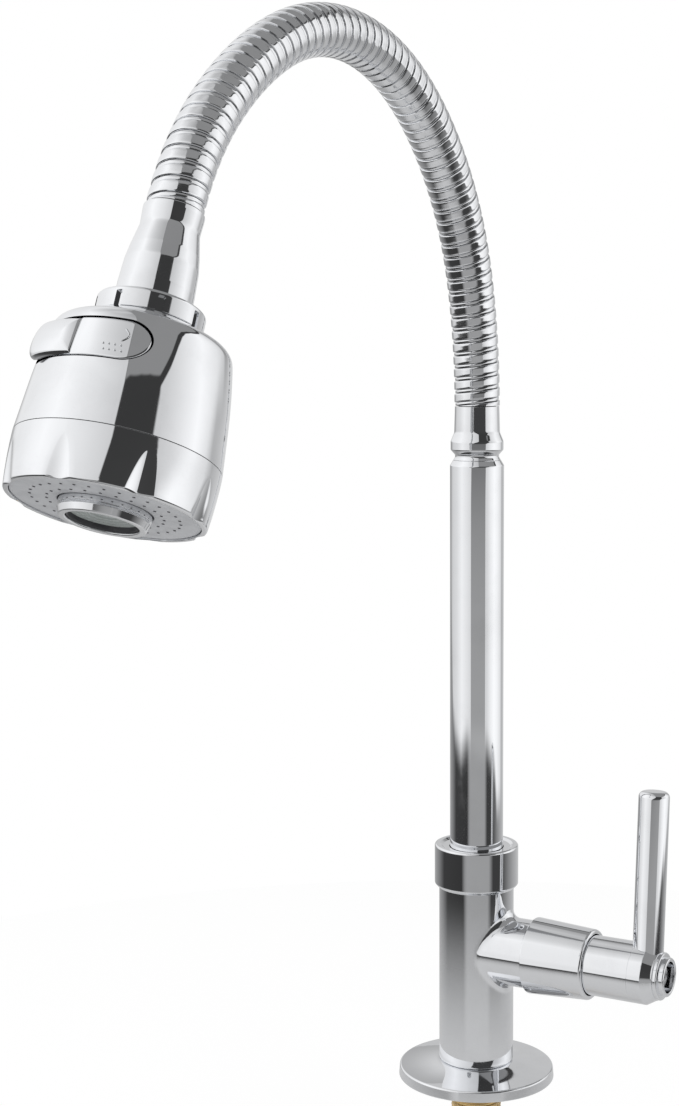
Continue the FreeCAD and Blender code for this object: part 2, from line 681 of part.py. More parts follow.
recess_floor = d.hub_reach - d.hub_recess_depth
handle_hub = turned("handle_hub", [
    (d.headwork_nose_radius + d.free_gap, d.hub_start),
    (d.hub_radius, d.hub_start),
    (d.hub_radius, d.hub_shoulder),
    (d.hub_rim_radius, d.hub_chamfer_reach),
    (d.hub_boss_radius, d.hub_chamfer_reach),
    (d.hub_boss_radius, d.hub_reach),
    (d.hub_recess_radius, d.hub_reach),
    (d.hub_recess_radius, recess_floor),
    (d.screw_radius + d.seat_gap, recess_floor),
    (d.screw_radius + d.seat_gap, d.spindle_reach + d.seat_gap),
    (d.spindle_radius + d.run_gap, d.spindle_reach + d.seat_gap),
    (d.spindle_radius + d.run_gap, d.hub_start + d.hub_bore_depth),
    (d.headwork_nose_radius + d.free_gap, d.hub_start + d.hub_bore_depth),
])
round_rings(handle_hub, "hub_end_round", d.foot_chamfer, (d.hub_boss_radius, d.hub_reach))
# The lever's seat is cut from the side that faces up, which is -X before the hub is laid down
FACING_UP = FreeCAD.Rotation(FreeCAD.Vector(0, 1, 0), -90)
cylinder(handle_hub, "lever_seat", d.lever_radius + d.seat_gap, d.hub_radius,
         x=-d.lever_seat, z=d.lever_reach, rotation=FACING_UP)
cylinder(handle_hub, "spigot_hole", d.spigot_radius + d.run_gap, d.hub_radius,
         x=d.spigot_length - d.lever_seat, z=d.lever_reach, rotation=FACING_UP)
LEAN = FreeCAD.Rotation(FreeCAD.Vector(1, 0, 0), -d.lever_lean.value)
place(handle_hub, z=d.branch_height, rotation=LEAN.multiply(ALONG_X))

handle_screw = turned("handle_screw", [
    (0, screw_low),
    (d.screw_radius, screw_low),
    (d.screw_radius, recess_floor),
    (d.screw_head_radius, recess_floor),
    (d.screw_head_radius, recess_floor + d.screw_head_height),
    (0, recess_floor + d.screw_head_height),
])
key = handle_screw.newObject("PartDesign::SubtractivePrism", "screw_key")
key.Polygon = 6
bind(key, "Circumradius", d.screw_key_width / math.sqrt(3))
bind(key, "Height", d.screw_head_height)
place(key, z=recess_floor + d.screw_head_height / 3)
place(handle_screw, z=d.branch_height, rotation=LEAN.multiply(ALONG_X))

lever = turned("lever", [
    (0, d.lever_seat - d.spigot_length + d.seat_gap),
    (d.spigot_radius, d.lever_seat - d.spigot_length + d.seat_gap),
    (d.spigot_radius, d.lever_seat),
    (d.lever_radius, d.lever_seat),
    (d.lever_radius, d.lever_top),
    (0, d.lever_top),
])
round_rings(lever, "lever_end_round", d.lever_round, (d.lever_radius, d.lever_top))
place(lever, x=d.lever_reach, z=d.branch_height, rotation=LEAN)

# Collar, bush, clip and riser
bush_low = neck_top - d.bush_length
collar_bore = d.riser_radius + d.free_gap
collar_nut = turned("collar_nut", [
    (neck_radius + d.seat_gap, d.column_top),
    (d.collar_radius - d.collar_chamfer, d.column_top),
    (d.collar_radius, d.column_top + d.collar_chamfer),
    (d.collar_radius, d.collar_top - d.collar_chamfer),
    (d.collar_radius - d.collar_chamfer, d.collar_top),
    (collar_bore + 2 * d.collar_dish, d.collar_top),
    (collar_bore, d.collar_top - d.collar_dish),
    (collar_bore, d.collar_top - d.collar_web),
    (neck_radius + d.seat_gap, d.collar_top - d.collar_web),
])

turned("riser_bush", [
    (d.riser_radius + d.run_gap, bush_low),
    (d.riser_bore_radius - d.seat_gap, bush_low),
    (d.riser_bore_radius - d.seat_gap, neck_top),
    (neck_radius, neck_top),
    (neck_radius, neck_top + d.bush_flange),
    (d.riser_radius + d.run_gap, neck_top + d.bush_flange),
])

groove_radius = d.riser_radius - d.riser_groove_depth
ring_half = d.riser_ring_radius + d.seat_gap
tail_top = d.collar_top - d.collar_web
riser_grooves = []
for middle in (d.riser_ring_height, d.riser_ring_height + d.riser_ring_pitch):
    riser_grooves += [
        (d.riser_radius, middle - ring_half),
        (groove_radius, middle - ring_half),
        (groove_radius, middle + ring_half),
        (d.riser_radius, middle + ring_half),
    ]
turned("riser_tube", [
    (d.riser_radius - d.riser_tail_wall, d.riser_bottom),
    (d.riser_radius, d.riser_bottom),
] + riser_grooves + [
    (d.riser_radius, d.clip_height - d.seat_gap / 2),
    (groove_radius, d.clip_height - d.seat_gap / 2),
    (groove_radius, d.clip_height + d.clip_thickness + d.seat_gap / 2),
    (d.riser_radius, d.clip_height + d.clip_thickness + d.seat_gap / 2),
    (d.riser_radius, d.riser_top),
    (d.riser_radius - d.riser_rim_step, d.riser_top + d.riser_rim_height),
    (d.riser_radius - d.riser_wall - d.seat_gap, d.riser_top + d.riser_rim_height),
    (d.riser_radius - d.riser_wall - d.seat_gap, tail_top),
    (d.riser_radius - d.riser_tail_wall, tail_top),
])

ring_centre = (groove_radius + d.riser_bore_radius) / 2
rings("riser_o_rings", ring_centre, d.riser_ring_radius,
      [d.riser_ring_height, d.riser_ring_height + d.riser_ring_pitch])

clip = turned("riser_clip", [
    (groove_radius + d.seat_gap / 2, d.clip_height),
    (d.riser_bore_radius - d.free_gap, d.clip_height),
    (d.riser_bore_radius - d.free_gap, d.clip_height + d.clip_thickness),
    (groove_radius + d.seat_gap / 2, d.clip_height + d.clip_thickness),
])
clip_gap = clip.newObject("PartDesign::SubtractiveCylinder", "clip_gap")
bind(clip_gap, "Radius", d.riser_bore_radius + 2)
bind(clip_gap, "Height", d.clip_thickness + 2)
bind(clip_gap, "Angle", d.clip_opening)
place(clip_gap, z=d.clip_height - 1)

# Ferrule between riser and gooseneck, and the barb that holds the hose in it
spigot_radius = d.riser_radius - d.riser_wall - 2 * d.seat_gap
barb_flange_radius = d.liner_radius - d.liner_wall - d.seat_gap
socket_floor = d.ferrule_top - d.ferrule_socket
lower_ferrule = turned("lower_ferrule", [
    (d.hose_radius + d.free_gap, d.riser_top + d.riser_rim_height - d.ferrule_spigot),
    (spigot_radius, d.riser_top + d.riser_rim_height - d.ferrule_spigot),
    (spigot_radius, d.riser_top + d.riser_rim_height + d.seat_gap),
    (d.riser_radius - d.riser_rim_step - d.seat_gap, d.riser_top + d.riser_rim_height + d.seat_gap),
    (d.ferrule_waist_radius, d.ferrule_waist_low),
    (d.ferrule_waist_radius, d.ferrule_waist_top),
    (d.ferrule_bulge_radius, d.ferrule_bulge_low),
    (d.ferrule_bulge_radius, d.ferrule_bulge_high),
    (d.ferrule_neck_radius, d.ferrule_neck_low),
    (d.ferrule_top_radius, d.ferrule_top),
    (d.liner_radius + d.seat_gap, d.ferrule_top),
    (d.liner_radius + d.seat_gap, socket_floor),
    (barb_flange_radius, socket_floor),
    (barb_flange_radius, socket_floor - d.barb_base / 2),
    (d.hose_radius + d.free_gap, socket_floor - d.barb_base / 2),
])
round_rings(lower_ferrule, "ferrule_round", d.foot_chamfer,
            (d.ferrule_bulge_radius, d.ferrule_bulge_low),
            (d.ferrule_bulge_radius, d.ferrule_bulge_high))


def barb(name, base_low, base_high, tip, base_radius):
    """A hose barb: a flange at its base and two barbs that the hose slips over."""
    step = (tip - base_high) / 3
    shaft = d.hose_bore_radius - 3 * d.seat_gap
    crest = d.hose_bore_radius - d.run_gap
    return turned(name, [
        (d.barb_bore_radius, base_low),
        (base_radius, base_low),
        (base_radius, base_high),
        (shaft, base_high),
        (shaft, base_high + step),
        (crest, base_high + step),
        (shaft, base_high + 2 * step),
        (crest, base_high + 2 * step),
        (shaft, tip),
        (d.barb_bore_radius, tip),
    ])


lower_barb_high = socket_floor
barb("lower_hose_barb", socket_floor - d.barb_base / 2, lower_barb_high, lower_barb_high + d.barb_length,
     barb_flange_radius - d.run_gap)

# Gooseneck: tangent bends in the plane X = 0, from the ferrule's top to the head
BENDS = [
    (d.bend_a_radius, d.bend_a_angle),
    (d.bend_b_radius, d.bend_b_angle),
    (d.bend_c_radius, d.bend_c_angle),
    (d.bend_d_radius, d.bend_d_angle),
    (d.bend_e_radius, d.bend_e_angle),
]
NECK_LENGTH = sum(radius.value * math.radians(angle.value) for radius, angle in BENDS)
NECK_ANGLE = sum(angle.value for radius, angle in BENDS)


def neck_frame(station):
    """Point, direction and outward normal of the gooseneck's axis at a length along it."""
    reach, height, tilt = 0.0, d.ferrule_top.value, 0.0
    left = station
    for radius, angle in BENDS:
        span = radius.value * math.radians(angle.value)
        part = min(left, span) if (radius, angle) is not BENDS[-1] else left
        part = max(part, 0.0) if station >= 0 else 0.0
        turn = part / radius.value
        reach += radius.value * (math.cos(tilt) - math.cos(tilt + turn))
        height += radius.value * (math.sin(tilt + turn) - math.sin(tilt))
        tilt += turn
        left -= part
        if left <= 0:
            break
    height += min(station, 0.0)
    point = FreeCAD.Vector(0, -reach, height)
    along = FreeCAD.Vector(0, -math.sin(tilt), math.cos(tilt))
    outward = FreeCAD.Vector(0, math.cos(tilt), math.sin(tilt))
    return point, along, outward


def neck_path(low, high):
    """The axis as one wire: a straight lead-in, the bends, and a straight lead-out."""
    edges = []
    start = neck_frame(0)[0]
    if low < 0:
        edges.append(Part.LineSegment(start + FreeCAD.Vector(0, 0, low), start).toShape())
    station = 0.0
    for radius, angle in BENDS:
        span = radius.value * math.radians(angle.value)
        ends = [neck_frame(station + share * span)[0] for share in (0, 0.5, 1)]
        edges.append(Part.Arc(*ends).toShape())
        station += span
    end, along, outward = neck_frame(NECK_LENGTH)
    if high > 0:
        edges.append(Part.LineSegment(end, end + along * high).toShape())
    return Part.Wire(edges)


def neck_tube(name, radius, bore, low, high):
    """A hollow tube along the axis, from below the ferrule's top to inside the head's sleeve."""
    path = neck_path(low, high)
    start = neck_frame(0)[0] + FreeCAD.Vector(0, 0, low)
    solids = []
    for size in (radius, bore):
        ring = Part.Wire([Part.Circle(start, FreeCAD.Vector(0, 0, 1), size).toShape()])
        solids.append(path.makePipeShell([ring], True, False))
    tube = solids[0].cut(solids[1])
    expected = math.pi * (radius ** 2 - bore ** 2) * path.Length
    print("%s: volume %.1f, section times length %.1f" % (name, tube.Volume, expected))
    return piece(name, tube)


bell_socket = d.bell_waist_station
neck_tube("gooseneck_liner", d.liner_radius.value, (d.liner_radius - d.liner_wall).value,
          -d.ferrule_socket.value + d.seat_gap.value, bell_socket.value - d.seat_gap.value)
neck_tube("water_hose", d.hose_radius.value, d.hose_bore_radius.value,
          -d.ferrule_socket.value + d.seat_gap.value, bell_socket.value + d.barb_length.value / 2)

# Spiral strip: one unbroken band, its section carried round the axis turn by turn.
# The flat strip has to face outward all the way, so its sections are joined by a ruled loft.
STRIP_STEPS = 16


def strip_sections():
    """Corner points of the strip's section at each step of its spiral."""
    turns = int(round(d.strip_turns.value))
    first = d.strip_end.value
    last = NECK_LENGTH - d.strip_end.value
    pitch = (last - first) / turns
    half = (pitch - d.strip_groove.value) / 2
    thin = half / 6
    low_middle = first + 2 * thin - half
    high_middle = last - 2 * thin + half
    count = int(round((high_middle - low_middle) / pitch * STRIP_STEPS))
    outer = d.strip_radius.value
    inner = outer - d.strip_thickness.value
    draft = d.strip_draft.value
    sections = []
    for step in range(count + 1):
        middle = low_middle + (high_middle - low_middle) * step / count
        swing = 2 * math.pi * (middle - low_middle) / pitch
        low = max(middle - half, first)
        high = min(middle + half, last)
        lean = min(draft, (high - low) / 4)
        corners = []
        for station, radius in ((low, inner), (low + lean, outer), (high - lean, outer), (high, inner)):
            point, along, outward = neck_frame(station)
            side = FreeCAD.Vector(-1, 0, 0)
            around = outward * math.cos(swing) + side * math.sin(swing)
            corners.append(point + around * radius)
        sections.append(corners)
    return sections


sections = strip_sections()
strip_wires = [Part.makePolygon(corners + corners[:1]) for corners in sections]
piece("gooseneck_strip", Part.makeLoft(strip_wires, True, True))
least_gap = min(
    (sections[index + STRIP_STEPS][0] - sections[index][3]).Length
    for index in range(len(sections) - STRIP_STEPS)
)
print("gooseneck_strip: %d turns, least gap to itself %.2f" % (d.strip_turns.value, least_gap))

# Everything on the head's axis: +Z of these pieces runs down the axis, +Y faces the front
head_place = FreeCAD.Placement(
    neck_frame(NECK_LENGTH)[0], FreeCAD.Rotation(FreeCAD.Vector(1, 0, 0), NECK_ANGLE))


# The rocker and what it moves face a little to one side of the head's front
front_place = head_place.multiply(FreeCAD.Placement(
    FreeCAD.Vector(), FreeCAD.Rotation(FreeCAD.Vector(0, 0, 1), d.rocker_offset.value)))


def on_head(thing, where=head_place):
    """Moves a piece to the end of the gooseneck."""
    thing.Placement = where
    doc.recompute()
    return thing


union_low = d.ring_station + d.ring_web
flange_foot = union_low + d.bell_flange_thickness
gasket_foot = flange_foot + d.union_gasket
barb_seat = bell_socket + d.barb_length + d.seat_gap
barb_foot = barb_seat + d.barb_base
sleeve_bore = d.liner_radius - d.liner_wall
neck_sleeve = turned("neck_sleeve", [
    (d.liner_radius + d.seat_gap, 0),
    (d.bell_top_radius, 0),
    (d.bell_waist_radius, d.bell_waist_station),
    (d.bell_flare_radius, d.bell_flare_station),
    (d.bell_foot_radius, union_low),
    (d.bell_flange_radius, union_low),
    (d.bell_flange_radius, flange_foot),
    (d.body_bore_radius, flange_foot),
    (d.body_bore_radius, barb_foot),
    (sleeve_bore, barb_foot),
    (sleeve_bore, bell_socket),
    (d.liner_radius + d.seat_gap, bell_socket),
])
round_rings(neck_sleeve, "bell_round", d.bell_waist_station / 2,
            (d.bell_waist_radius, d.bell_waist_station), (d.bell_flare_radius, d.bell_flare_station))
on_head(neck_sleeve)

upper_barb = barb("upper_hose_barb", -barb_foot, -barb_seat, -bell_socket + d.seat_gap,
                  sleeve_bore - d.run_gap)
upper_barb.Placement = head_place.multiply(
    FreeCAD.Placement(FreeCAD.Vector(), FreeCAD.Rotation(FreeCAD.Vector(1, 0, 0), 180)))

# Union ring with its notched skirt, and the gasket under it
union_thread = d.bell_flange_radius + 2 * d.seat_gap
grip_ring = turned("grip_ring", [
    (d.bell_foot_radius + d.seat_gap, d.ring_station),
    (d.ring_radius, d.ring_station),
    (d.ring_radius, d.shell_station - d.seat_gap),
    (union_thread, d.shell_station - d.seat_gap),
    (union_thread, union_low),
    (d.bell_foot_radius + d.seat_gap, union_low),
])
notch = box(grip_ring, "ring_notch", 2 * d.ring_notch_depth, d.ring_notch_width,
            d.shell_station - union_low,
            x=d.ring_radius - d.ring_notch_depth, y=-d.ring_notch_width / 2, z=union_low)
repeat_round(grip_ring, "ring_notches", notch, d.ring_notches)
round_rings(grip_ring, "ring_top_round", d.ring_round, (d.ring_radius, d.ring_station))
on_head(grip_ring)

on_head(turned("head_gasket", [
    (d.body_bore_radius, flange_foot),
    (d.bell_flange_radius, flange_foot),
    (d.bell_flange_radius, gasket_foot),
    (d.body_bore_radius, gasket_foot),
]))

# Diverter body: threaded neck, waist with the spool's bore, flange for the bezel, aerator thread
shell_floor = d.shell_station + d.shell_wall
bezel_bore = d.shell_low_radius - d.bezel_wall
body_flange_radius = bezel_bore - d.seat_gap
flange_low = d.seam_station + d.seam_gap + d.shell_wall / 2
flange_high = flange_low + d.body_flange_height
face_high = d.bezel_station - d.face_inset
face_low = face_high - d.face_thickness
insert_low = d.aerator_station - d.shell_wall - d.aerator_insert_height
thread_end = insert_low - d.aerator_gasket
diverter_body = turned("diverter_body", [
    (0, gasket_foot),
    (d.bell_flange_radius, gasket_foot),
    (d.bell_flange_radius, shell_floor + d.seat_gap),
    (d.body_radius - d.body_chamfer, shell_floor + d.seat_gap),
    (d.body_radius, shell_floor + d.seat_gap + d.body_chamfer),
    (d.body_radius, flange_low),
    (body_flange_radius, flange_low),
    (body_flange_radius, flange_high),
    (d.aerator_radius, flange_high),
    (d.aerator_thread_radius, face_low - d.shell_wall),
    (d.aerator_thread_radius, thread_end),
    (0, thread_end),
])
ear_reach = d.pivot_radius + d.pin_radius + d.seat_gap + 0.5
ear_gap = d.hub_length / 2 + d.seat_gap
for side, low in (("upper", -(ear_gap + d.ear_thickness)), ("lower", ear_gap)):
    box(diverter_body, side + "_ear", 2 * d.ear_half_width, ear_reach - d.body_radius + 2,
        d.ear_thickness, x=-d.ear_half_width, y=d.body_radius - 2, z=d.rocker_station + low, cut=False)
pin_length = d.hub_length + 2 * (d.ear_thickness + d.seat_gap)
cylinder(diverter_body, "pin_holes", d.pin_radius + d.run_gap, pin_length + 2,
         y=d.pivot_radius, z=d.rocker_station - pin_length / 2 - 1)
cylinder(diverter_body, "inlet_bore", d.body_bore_radius, d.rocker_station - gasket_foot + 1,
         z=gasket_foot - 1)
aerator_bore_low = d.rocker_station + 2 * d.spool_radius
cylinder(diverter_body, "aerator_bore", d.body_bore_radius, thread_end - aerator_bore_low + 1,
         z=aerator_bore_low)
cylinder(diverter_body, "spool_bore", d.spool_radius + d.run_gap, 2 * d.body_radius + 2,
         x=-d.body_radius - 1, y=d.spool_axis, z=d.rocker_station, rotation=ALONG_X)
finger_swing = (d.pivot_radius - d.spool_axis) * math.sin(math.radians(d.rocker_tilt.value))
finger_low = d.rocker_station - d.finger_height / 2 - d.panel_gap
box(diverter_body, "finger_window", 2 * d.finger_half_width + finger_swing + 2 * d.panel_gap,
    d.body_radius, d.finger_height + 2 * d.panel_gap,
    x=-d.finger_half_width - d.panel_gap, y=d.spool_axis, z=finger_low)
on_head(diverter_body, front_place)

# Head shell with the window for the rocker
inner_corner = (d.shell_top_radius - d.shell_wall, d.shell_corner_station + d.shell_wall / 2)
head_shell = turned("head_shell", [
    (d.bell_flange_radius + d.seat_gap, d.shell_station),
    (d.ring_radius, d.shell_station),
    (d.shell_top_radius, d.shell_corner_station),
    (d.shell_low_radius, d.seam_station),
    (d.shell_low_radius - d.shell_wall, d.seam_station),
    inner_corner,
    (d.ring_radius - d.shell_wall / 3, shell_floor),
    (d.bell_flange_radius + d.seat_gap, shell_floor),
])
round_rings(head_shell, "shoulder_outside", d.shell_shoulder,
            (d.shell_top_radius, d.shell_corner_station))
round_rings(head_shell, "shoulder_inside", d.shell_shoulder - d.shell_wall, inner_corner)


def stadium(body, name, half_width, height):
    """A long rounded outline on the body's XZ plane, its middle at the rocker's station."""
    sketch = body.newObject("Sketcher::SketchObject", name)
    support = [feature for feature in body.Origin.OriginFeatures if feature.Role == "XZ_Plane"][0]
    sketch.AttachmentSupport = (support, [""])
    sketch.MapMode = "FlatFace"
    low = value(d.rocker_station - height / 2)
    high = value(d.rocker_station + height / 2)
    middle = d.rocker_station.value
    run = value(half_width - height / 2)
    radius = value(height) / 2
    up = FreeCAD.Vector(0, 0, 1)
    sketch.addGeometry(Part.LineSegment(FreeCAD.Vector(-run, low, 0), FreeCAD.Vector(run, low, 0)))
    right = Part.Circle(FreeCAD.Vector(run, middle, 0), up, radius)
    sketch.addGeometry(Part.ArcOfCircle(right, -math.pi / 2, math.pi / 2))
    sketch.addGeometry(Part.LineSegment(FreeCAD.Vector(run, high, 0), FreeCAD.Vector(-run, high, 0)))
    left = Part.Circle(FreeCAD.Vector(-run, middle, 0), up, radius)
    sketch.addGeometry(Part.ArcOfCircle(left, math.pi / 2, 3 * math.pi / 2))
    for index in range(4):
        sketch.addConstraint(Sketcher.Constraint("Tangent", index, 2, (index + 1) % 4, 1))
    sketch.addConstraint(Sketcher.Constraint("Horizontal", 0))
    for kind, index, length in (("DistanceX", 1, half_width - height / 2),
                                ("DistanceY", 1, d.rocker_station),
                                ("DistanceX", 3, height / 2 - half_width)):
        held = sketch.addConstraint(Sketcher.Constraint(kind, index, 3, value(length)))
        bind(sketch, "Constraints[%d]" % held, length)
    held = sketch.addConstraint(Sketcher.Constraint("Radius", 1, radius))
    bind(sketch, "Constraints[%d]" % held, height / 2)
    return sketch


window = head_shell.newObject("PartDesign::Pocket", "rocker_window")
window.Profile = stadium(head_shell, "window_outline", d.rocker_half_width + d.panel_gap,
                         d.rocker_height + 2 * d.panel_gap)
window.Type = 0
bind(window, "Length", d.shell_low_radius + 2)
head_shell.Tip = window
on_head(head_shell, front_place)

# Bezel with its finger flutes
lower_bezel = turned("lower_bezel", [
    (bezel_bore, d.seam_station + d.seam_gap),
    (d.shell_low_radius, d.seam_station + d.seam_gap),
    (d.bezel_low_radius, d.bezel_station),
    (bezel_bore, d.bezel_station),
])
round_rings(lower_bezel, "bezel_rim_round", d.bezel_round, (d.bezel_low_radius, d.bezel_station))
flute_lean = math.degrees(math.atan(d.flute_depth.value / d.flute_length.value))
flute_side = FreeCAD.Rotation(FreeCAD.Vector(0, 0, 1), -d.flute_offset.value)
flute_turn = flute_side.multiply(FreeCAD.Rotation(FreeCAD.Vector(1, 0, 0), flute_lean))
flute_axis = d.shell_low_radius + d.flute_radius
flute_angle = math.radians(d.flute_offset.value)
flute_height = 2 * d.flute_length
flute_low = d.bezel_station - d.flute_length
flute = cylinder(lower_bezel, "flute", d.flute_radius, flute_height,
                 x=flute_axis * math.sin(flute_angle), y=flute_axis * math.cos(flute_angle),
                 z=flute_low, rotation=flute_turn)
repeat_round(lower_bezel, "flute_ring", flute, d.flutes)
on_head(lower_bezel)

# Spray face with two rings of six-sided nozzle holes
spray_face = turned("spray_face", [
    (d.aerator_radius + d.free_gap, face_low),
    (bezel_bore - d.seat_gap, face_low),
    (bezel_bore - d.seat_gap, face_high),
    (d.aerator_radius + d.free_gap, face_high),
])
for name, ring_radius, count in (("outer", d.outer_nozzle_ring, d.outer_nozzles),
                                 ("inner", d.inner_nozzle_ring, d.inner_nozzles)):
    hole = spray_face.newObject("PartDesign::SubtractivePrism", name + "_nozzle")
    hole.Polygon = 6
    bind(hole, "Circumradius", d.nozzle_radius)
    bind(hole, "Height", d.face_thickness + 2)
    place(hole, x=ring_radius, z=face_low - 1)
    doc.recompute()
    repeat_round(spray_face, name + "_nozzles", hole, count)
on_head(spray_face)

# Aerator: threaded ring, insert with its rings, gasket
insert_high = insert_low + d.aerator_insert_height
ring_step = (face_high + d.aerator_station) / 2
on_head(turned("aerator_ring", [
    (d.aerator_thread_radius + d.run_gap, face_low - d.shell_wall + d.free_gap),
    (d.aerator_radius, face_low - d.shell_wall + d.free_gap),
    (d.aerator_radius, ring_step),
    (d.aerator_radius - d.aerator_step, ring_step + d.aerator_step),
    (d.aerator_radius - d.aerator_step, d.aerator_station),
    (d.aerator_mouth_radius, d.aerator_station),
    (d.aerator_mouth_radius, insert_high),
    (d.aerator_thread_radius + d.run_gap, insert_high),
]))

insert_radius = d.aerator_thread_radius - d.run_gap
aerator_insert = turned("aerator_insert", [
    (0, insert_low),
    (insert_radius, insert_low),
    (insert_radius, insert_high),
    (d.aerator_mouth_radius - d.free_gap, insert_high),
    (d.aerator_mouth_radius - d.free_gap - d.mesh_ring_width, insert_high),
    (d.aerator_mouth_radius - d.free_gap - d.mesh_ring_width, insert_high - d.mesh_ring_width),
    (d.body_bore_radius + d.mesh_ring_width, insert_high - d.mesh_ring_width),
    (d.body_bore_radius + d.mesh_ring_width, insert_high),
    (d.body_bore_radius, insert_high),
    (d.body_bore_radius, insert_high - d.mesh_ring_width),
    (0, insert_high - d.mesh_ring_width),
])
on_head(aerator_insert)

on_head(turned("aerator_gasket", [
    (d.body_bore_radius, thread_end),
    (insert_radius, thread_end),
    (insert_radius, insert_low),
    (d.body_bore_radius, insert_low),
]))

# Rocker: the plate cut from the shell's own surface, its left half tipped out by the rocker's travel
on_head(turned("rocker_pin", [
    (0, d.rocker_station - pin_length / 2),
    (d.pin_radius, d.rocker_station - pin_length / 2),
    (d.pin_radius, d.rocker_station + pin_length / 2),
    (0, d.rocker_station + pin_length / 2),
]))
pieces["rocker_pin"].Placement = front_place.multiply(
    FreeCAD.Placement(FreeCAD.Vector(0, d.pivot_radius.value, 0), FreeCAD.Rotation()))


def shell_solid(inset):
    """The solid inside the shell's outer surface, drawn in by an inset."""
    top = d.shell_station.value + inset
    corner_station = d.shell_corner_station.value + inset / 2
    corners = [
        FreeCAD.Vector(0, 0, top),
        FreeCAD.Vector(d.ring_radius.value - inset / 3, 0, top),
        FreeCAD.Vector(d.shell_top_radius.value - inset, 0, corner_station),
        FreeCAD.Vector(d.shell_low_radius.value - inset, 0, d.seam_station.value),
        FreeCAD.Vector(0, 0, d.seam_station.value),
    ]
    face = Part.Face(Part.makePolygon(corners + corners[:1]))
    solid = face.revolve(FreeCAD.Vector(0, 0, 0), FreeCAD.Vector(0, 0, 1), 360)
    solid = Part.Solid(Part.Shell(solid.Faces))
    corner = [edge for edge in solid.Edges if isinstance(edge.Curve, Part.Circle)
              and abs(edge.Curve.Center.z - corner_station) < 1e-6]
    return solid.makeFillet(d.shell_shoulder.value - inset, corner)


def rocker_shape():
    """Rocker in the head's own axes."""
    half_width = d.rocker_half_width.value
    height = d.rocker_height.value
    middle = d.rocker_station.value
    run = half_width - height / 2
    reach = d.shell_low_radius.value + 5
    bar = Part.makeBox(run, reach, height, FreeCAD.Vector(0, 0, middle - height / 2))
    end = Part.makeCylinder(height / 2, reach, FreeCAD.Vector(run, 0, middle), FreeCAD.Vector(0, 1, 0))
    plate = shell_solid(0).cut(shell_solid(d.rocker_thickness.value)).common(bar.fuse(end))
    pivot = FreeCAD.Vector(0, d.pivot_radius.value, middle)
    down = FreeCAD.Vector(0, 0, 1)
    raised = plate.mirror(FreeCAD.Vector(0, 0, 0), FreeCAD.Vector(1, 0, 0))
    raised.rotate(pivot, down, -d.rocker_tilt.value)
    boss_radius = (d.pin_radius + d.run_gap + d.hub_wall).value
    boss_length = d.hub_length.value
    low = FreeCAD.Vector(0, d.pivot_radius.value, middle - boss_length / 2)
    boss = Part.makeCylinder(boss_radius, boss_length, low, down)
    rib_low = d.pivot_radius.value
    rib_high = d.shell_top_radius.value - d.rocker_thickness.value / 2
    rib = Part.makeBox(2 * boss_radius, rib_high - rib_low, boss_length,
                       FreeCAD.Vector(-boss_radius, rib_low, middle - boss_length / 2))
    finger_half = d.finger_half_width.value
    tip = (d.spool_axis + d.spool_core_radius + d.free_gap).value
    finger = Part.makeBox(2 * finger_half, rib_low - tip, d.finger_height.value,
                          FreeCAD.Vector(-finger_half, tip, middle - d.finger_height.value / 2))
    bore = Part.makeCylinder((d.pin_radius + d.run_gap).value, boss_length + 2,
                             low - FreeCAD.Vector(0, 0, 1), down)
    return plate.multiFuse([raised, boss, rib, finger]).cut(bore).removeSplitter()


piece("rocker_button", rocker_shape(), front_place)

# Spool across the diverter body, moved by the rocker's finger
spool_half = d.spool_length / 2
slot_half = d.spool_slot / 2
spool_ring_place = spool_half - 3 * d.spool_ring_radius
spool_groove = d.spool_radius - 2 * d.spool_ring_radius
groove_half = d.spool_ring_radius + d.seat_gap
lands = [
    (d.spool_radius, -spool_half),
    (d.spool_radius, -spool_ring_place - groove_half),
    (spool_groove, -spool_ring_place - groove_half),
    (spool_groove, groove_half - spool_ring_place),
    (d.spool_radius, groove_half - spool_ring_place),
    (d.spool_radius, -slot_half),
    (d.spool_core_radius, -slot_half),
]
diverter_spool = turned("diverter_spool", [(0, -spool_half)] + lands
                        + [(radius, -height) for radius, height in reversed(lands)] + [(0, spool_half)])
rings("spool_o_rings", d.spool_radius - d.spool_ring_radius, d.spool_ring_radius,
      [-spool_ring_place, spool_ring_place])
spool_place = front_place.multiply(FreeCAD.Placement(
    FreeCAD.Vector(0, d.spool_axis.value, d.rocker_station.value), ALONG_X))
for name in ("diverter_spool", "spool_o_rings"):
    pieces[name].Placement = spool_place

# Every object is checked before anything is written
doc.recompute()
for thing in doc.Objects:
    if "Invalid" in thing.State or "Error" in thing.State:
        raise RuntimeError("%s failed: %s" % (thing.Name, thing.State))
for name, thing in pieces.items():
    if thing.Shape.isNull() or not thing.Shape.isValid():
        raise RuntimeError("%s has no valid shape" % name)

os.makedirs("parts", exist_ok=True)
for name, thing in pieces.items():
    thing.Shape.exportStep("parts/%s.step" % name)
print("%d pieces" % len(pieces))
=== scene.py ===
"""Spring spout kitchen tap: the visible pieces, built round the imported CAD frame.

Profiles and stations are in millimetres. Meshes are in metres, in the CAD frame.
"""
import math

import bmesh
import bpy
import numpy as np
from bmesh.types import BMEdge, BMVert
from bpy.props import FloatProperty, FloatVectorProperty, IntProperty, PointerProperty
from mathutils import Matrix, Vector


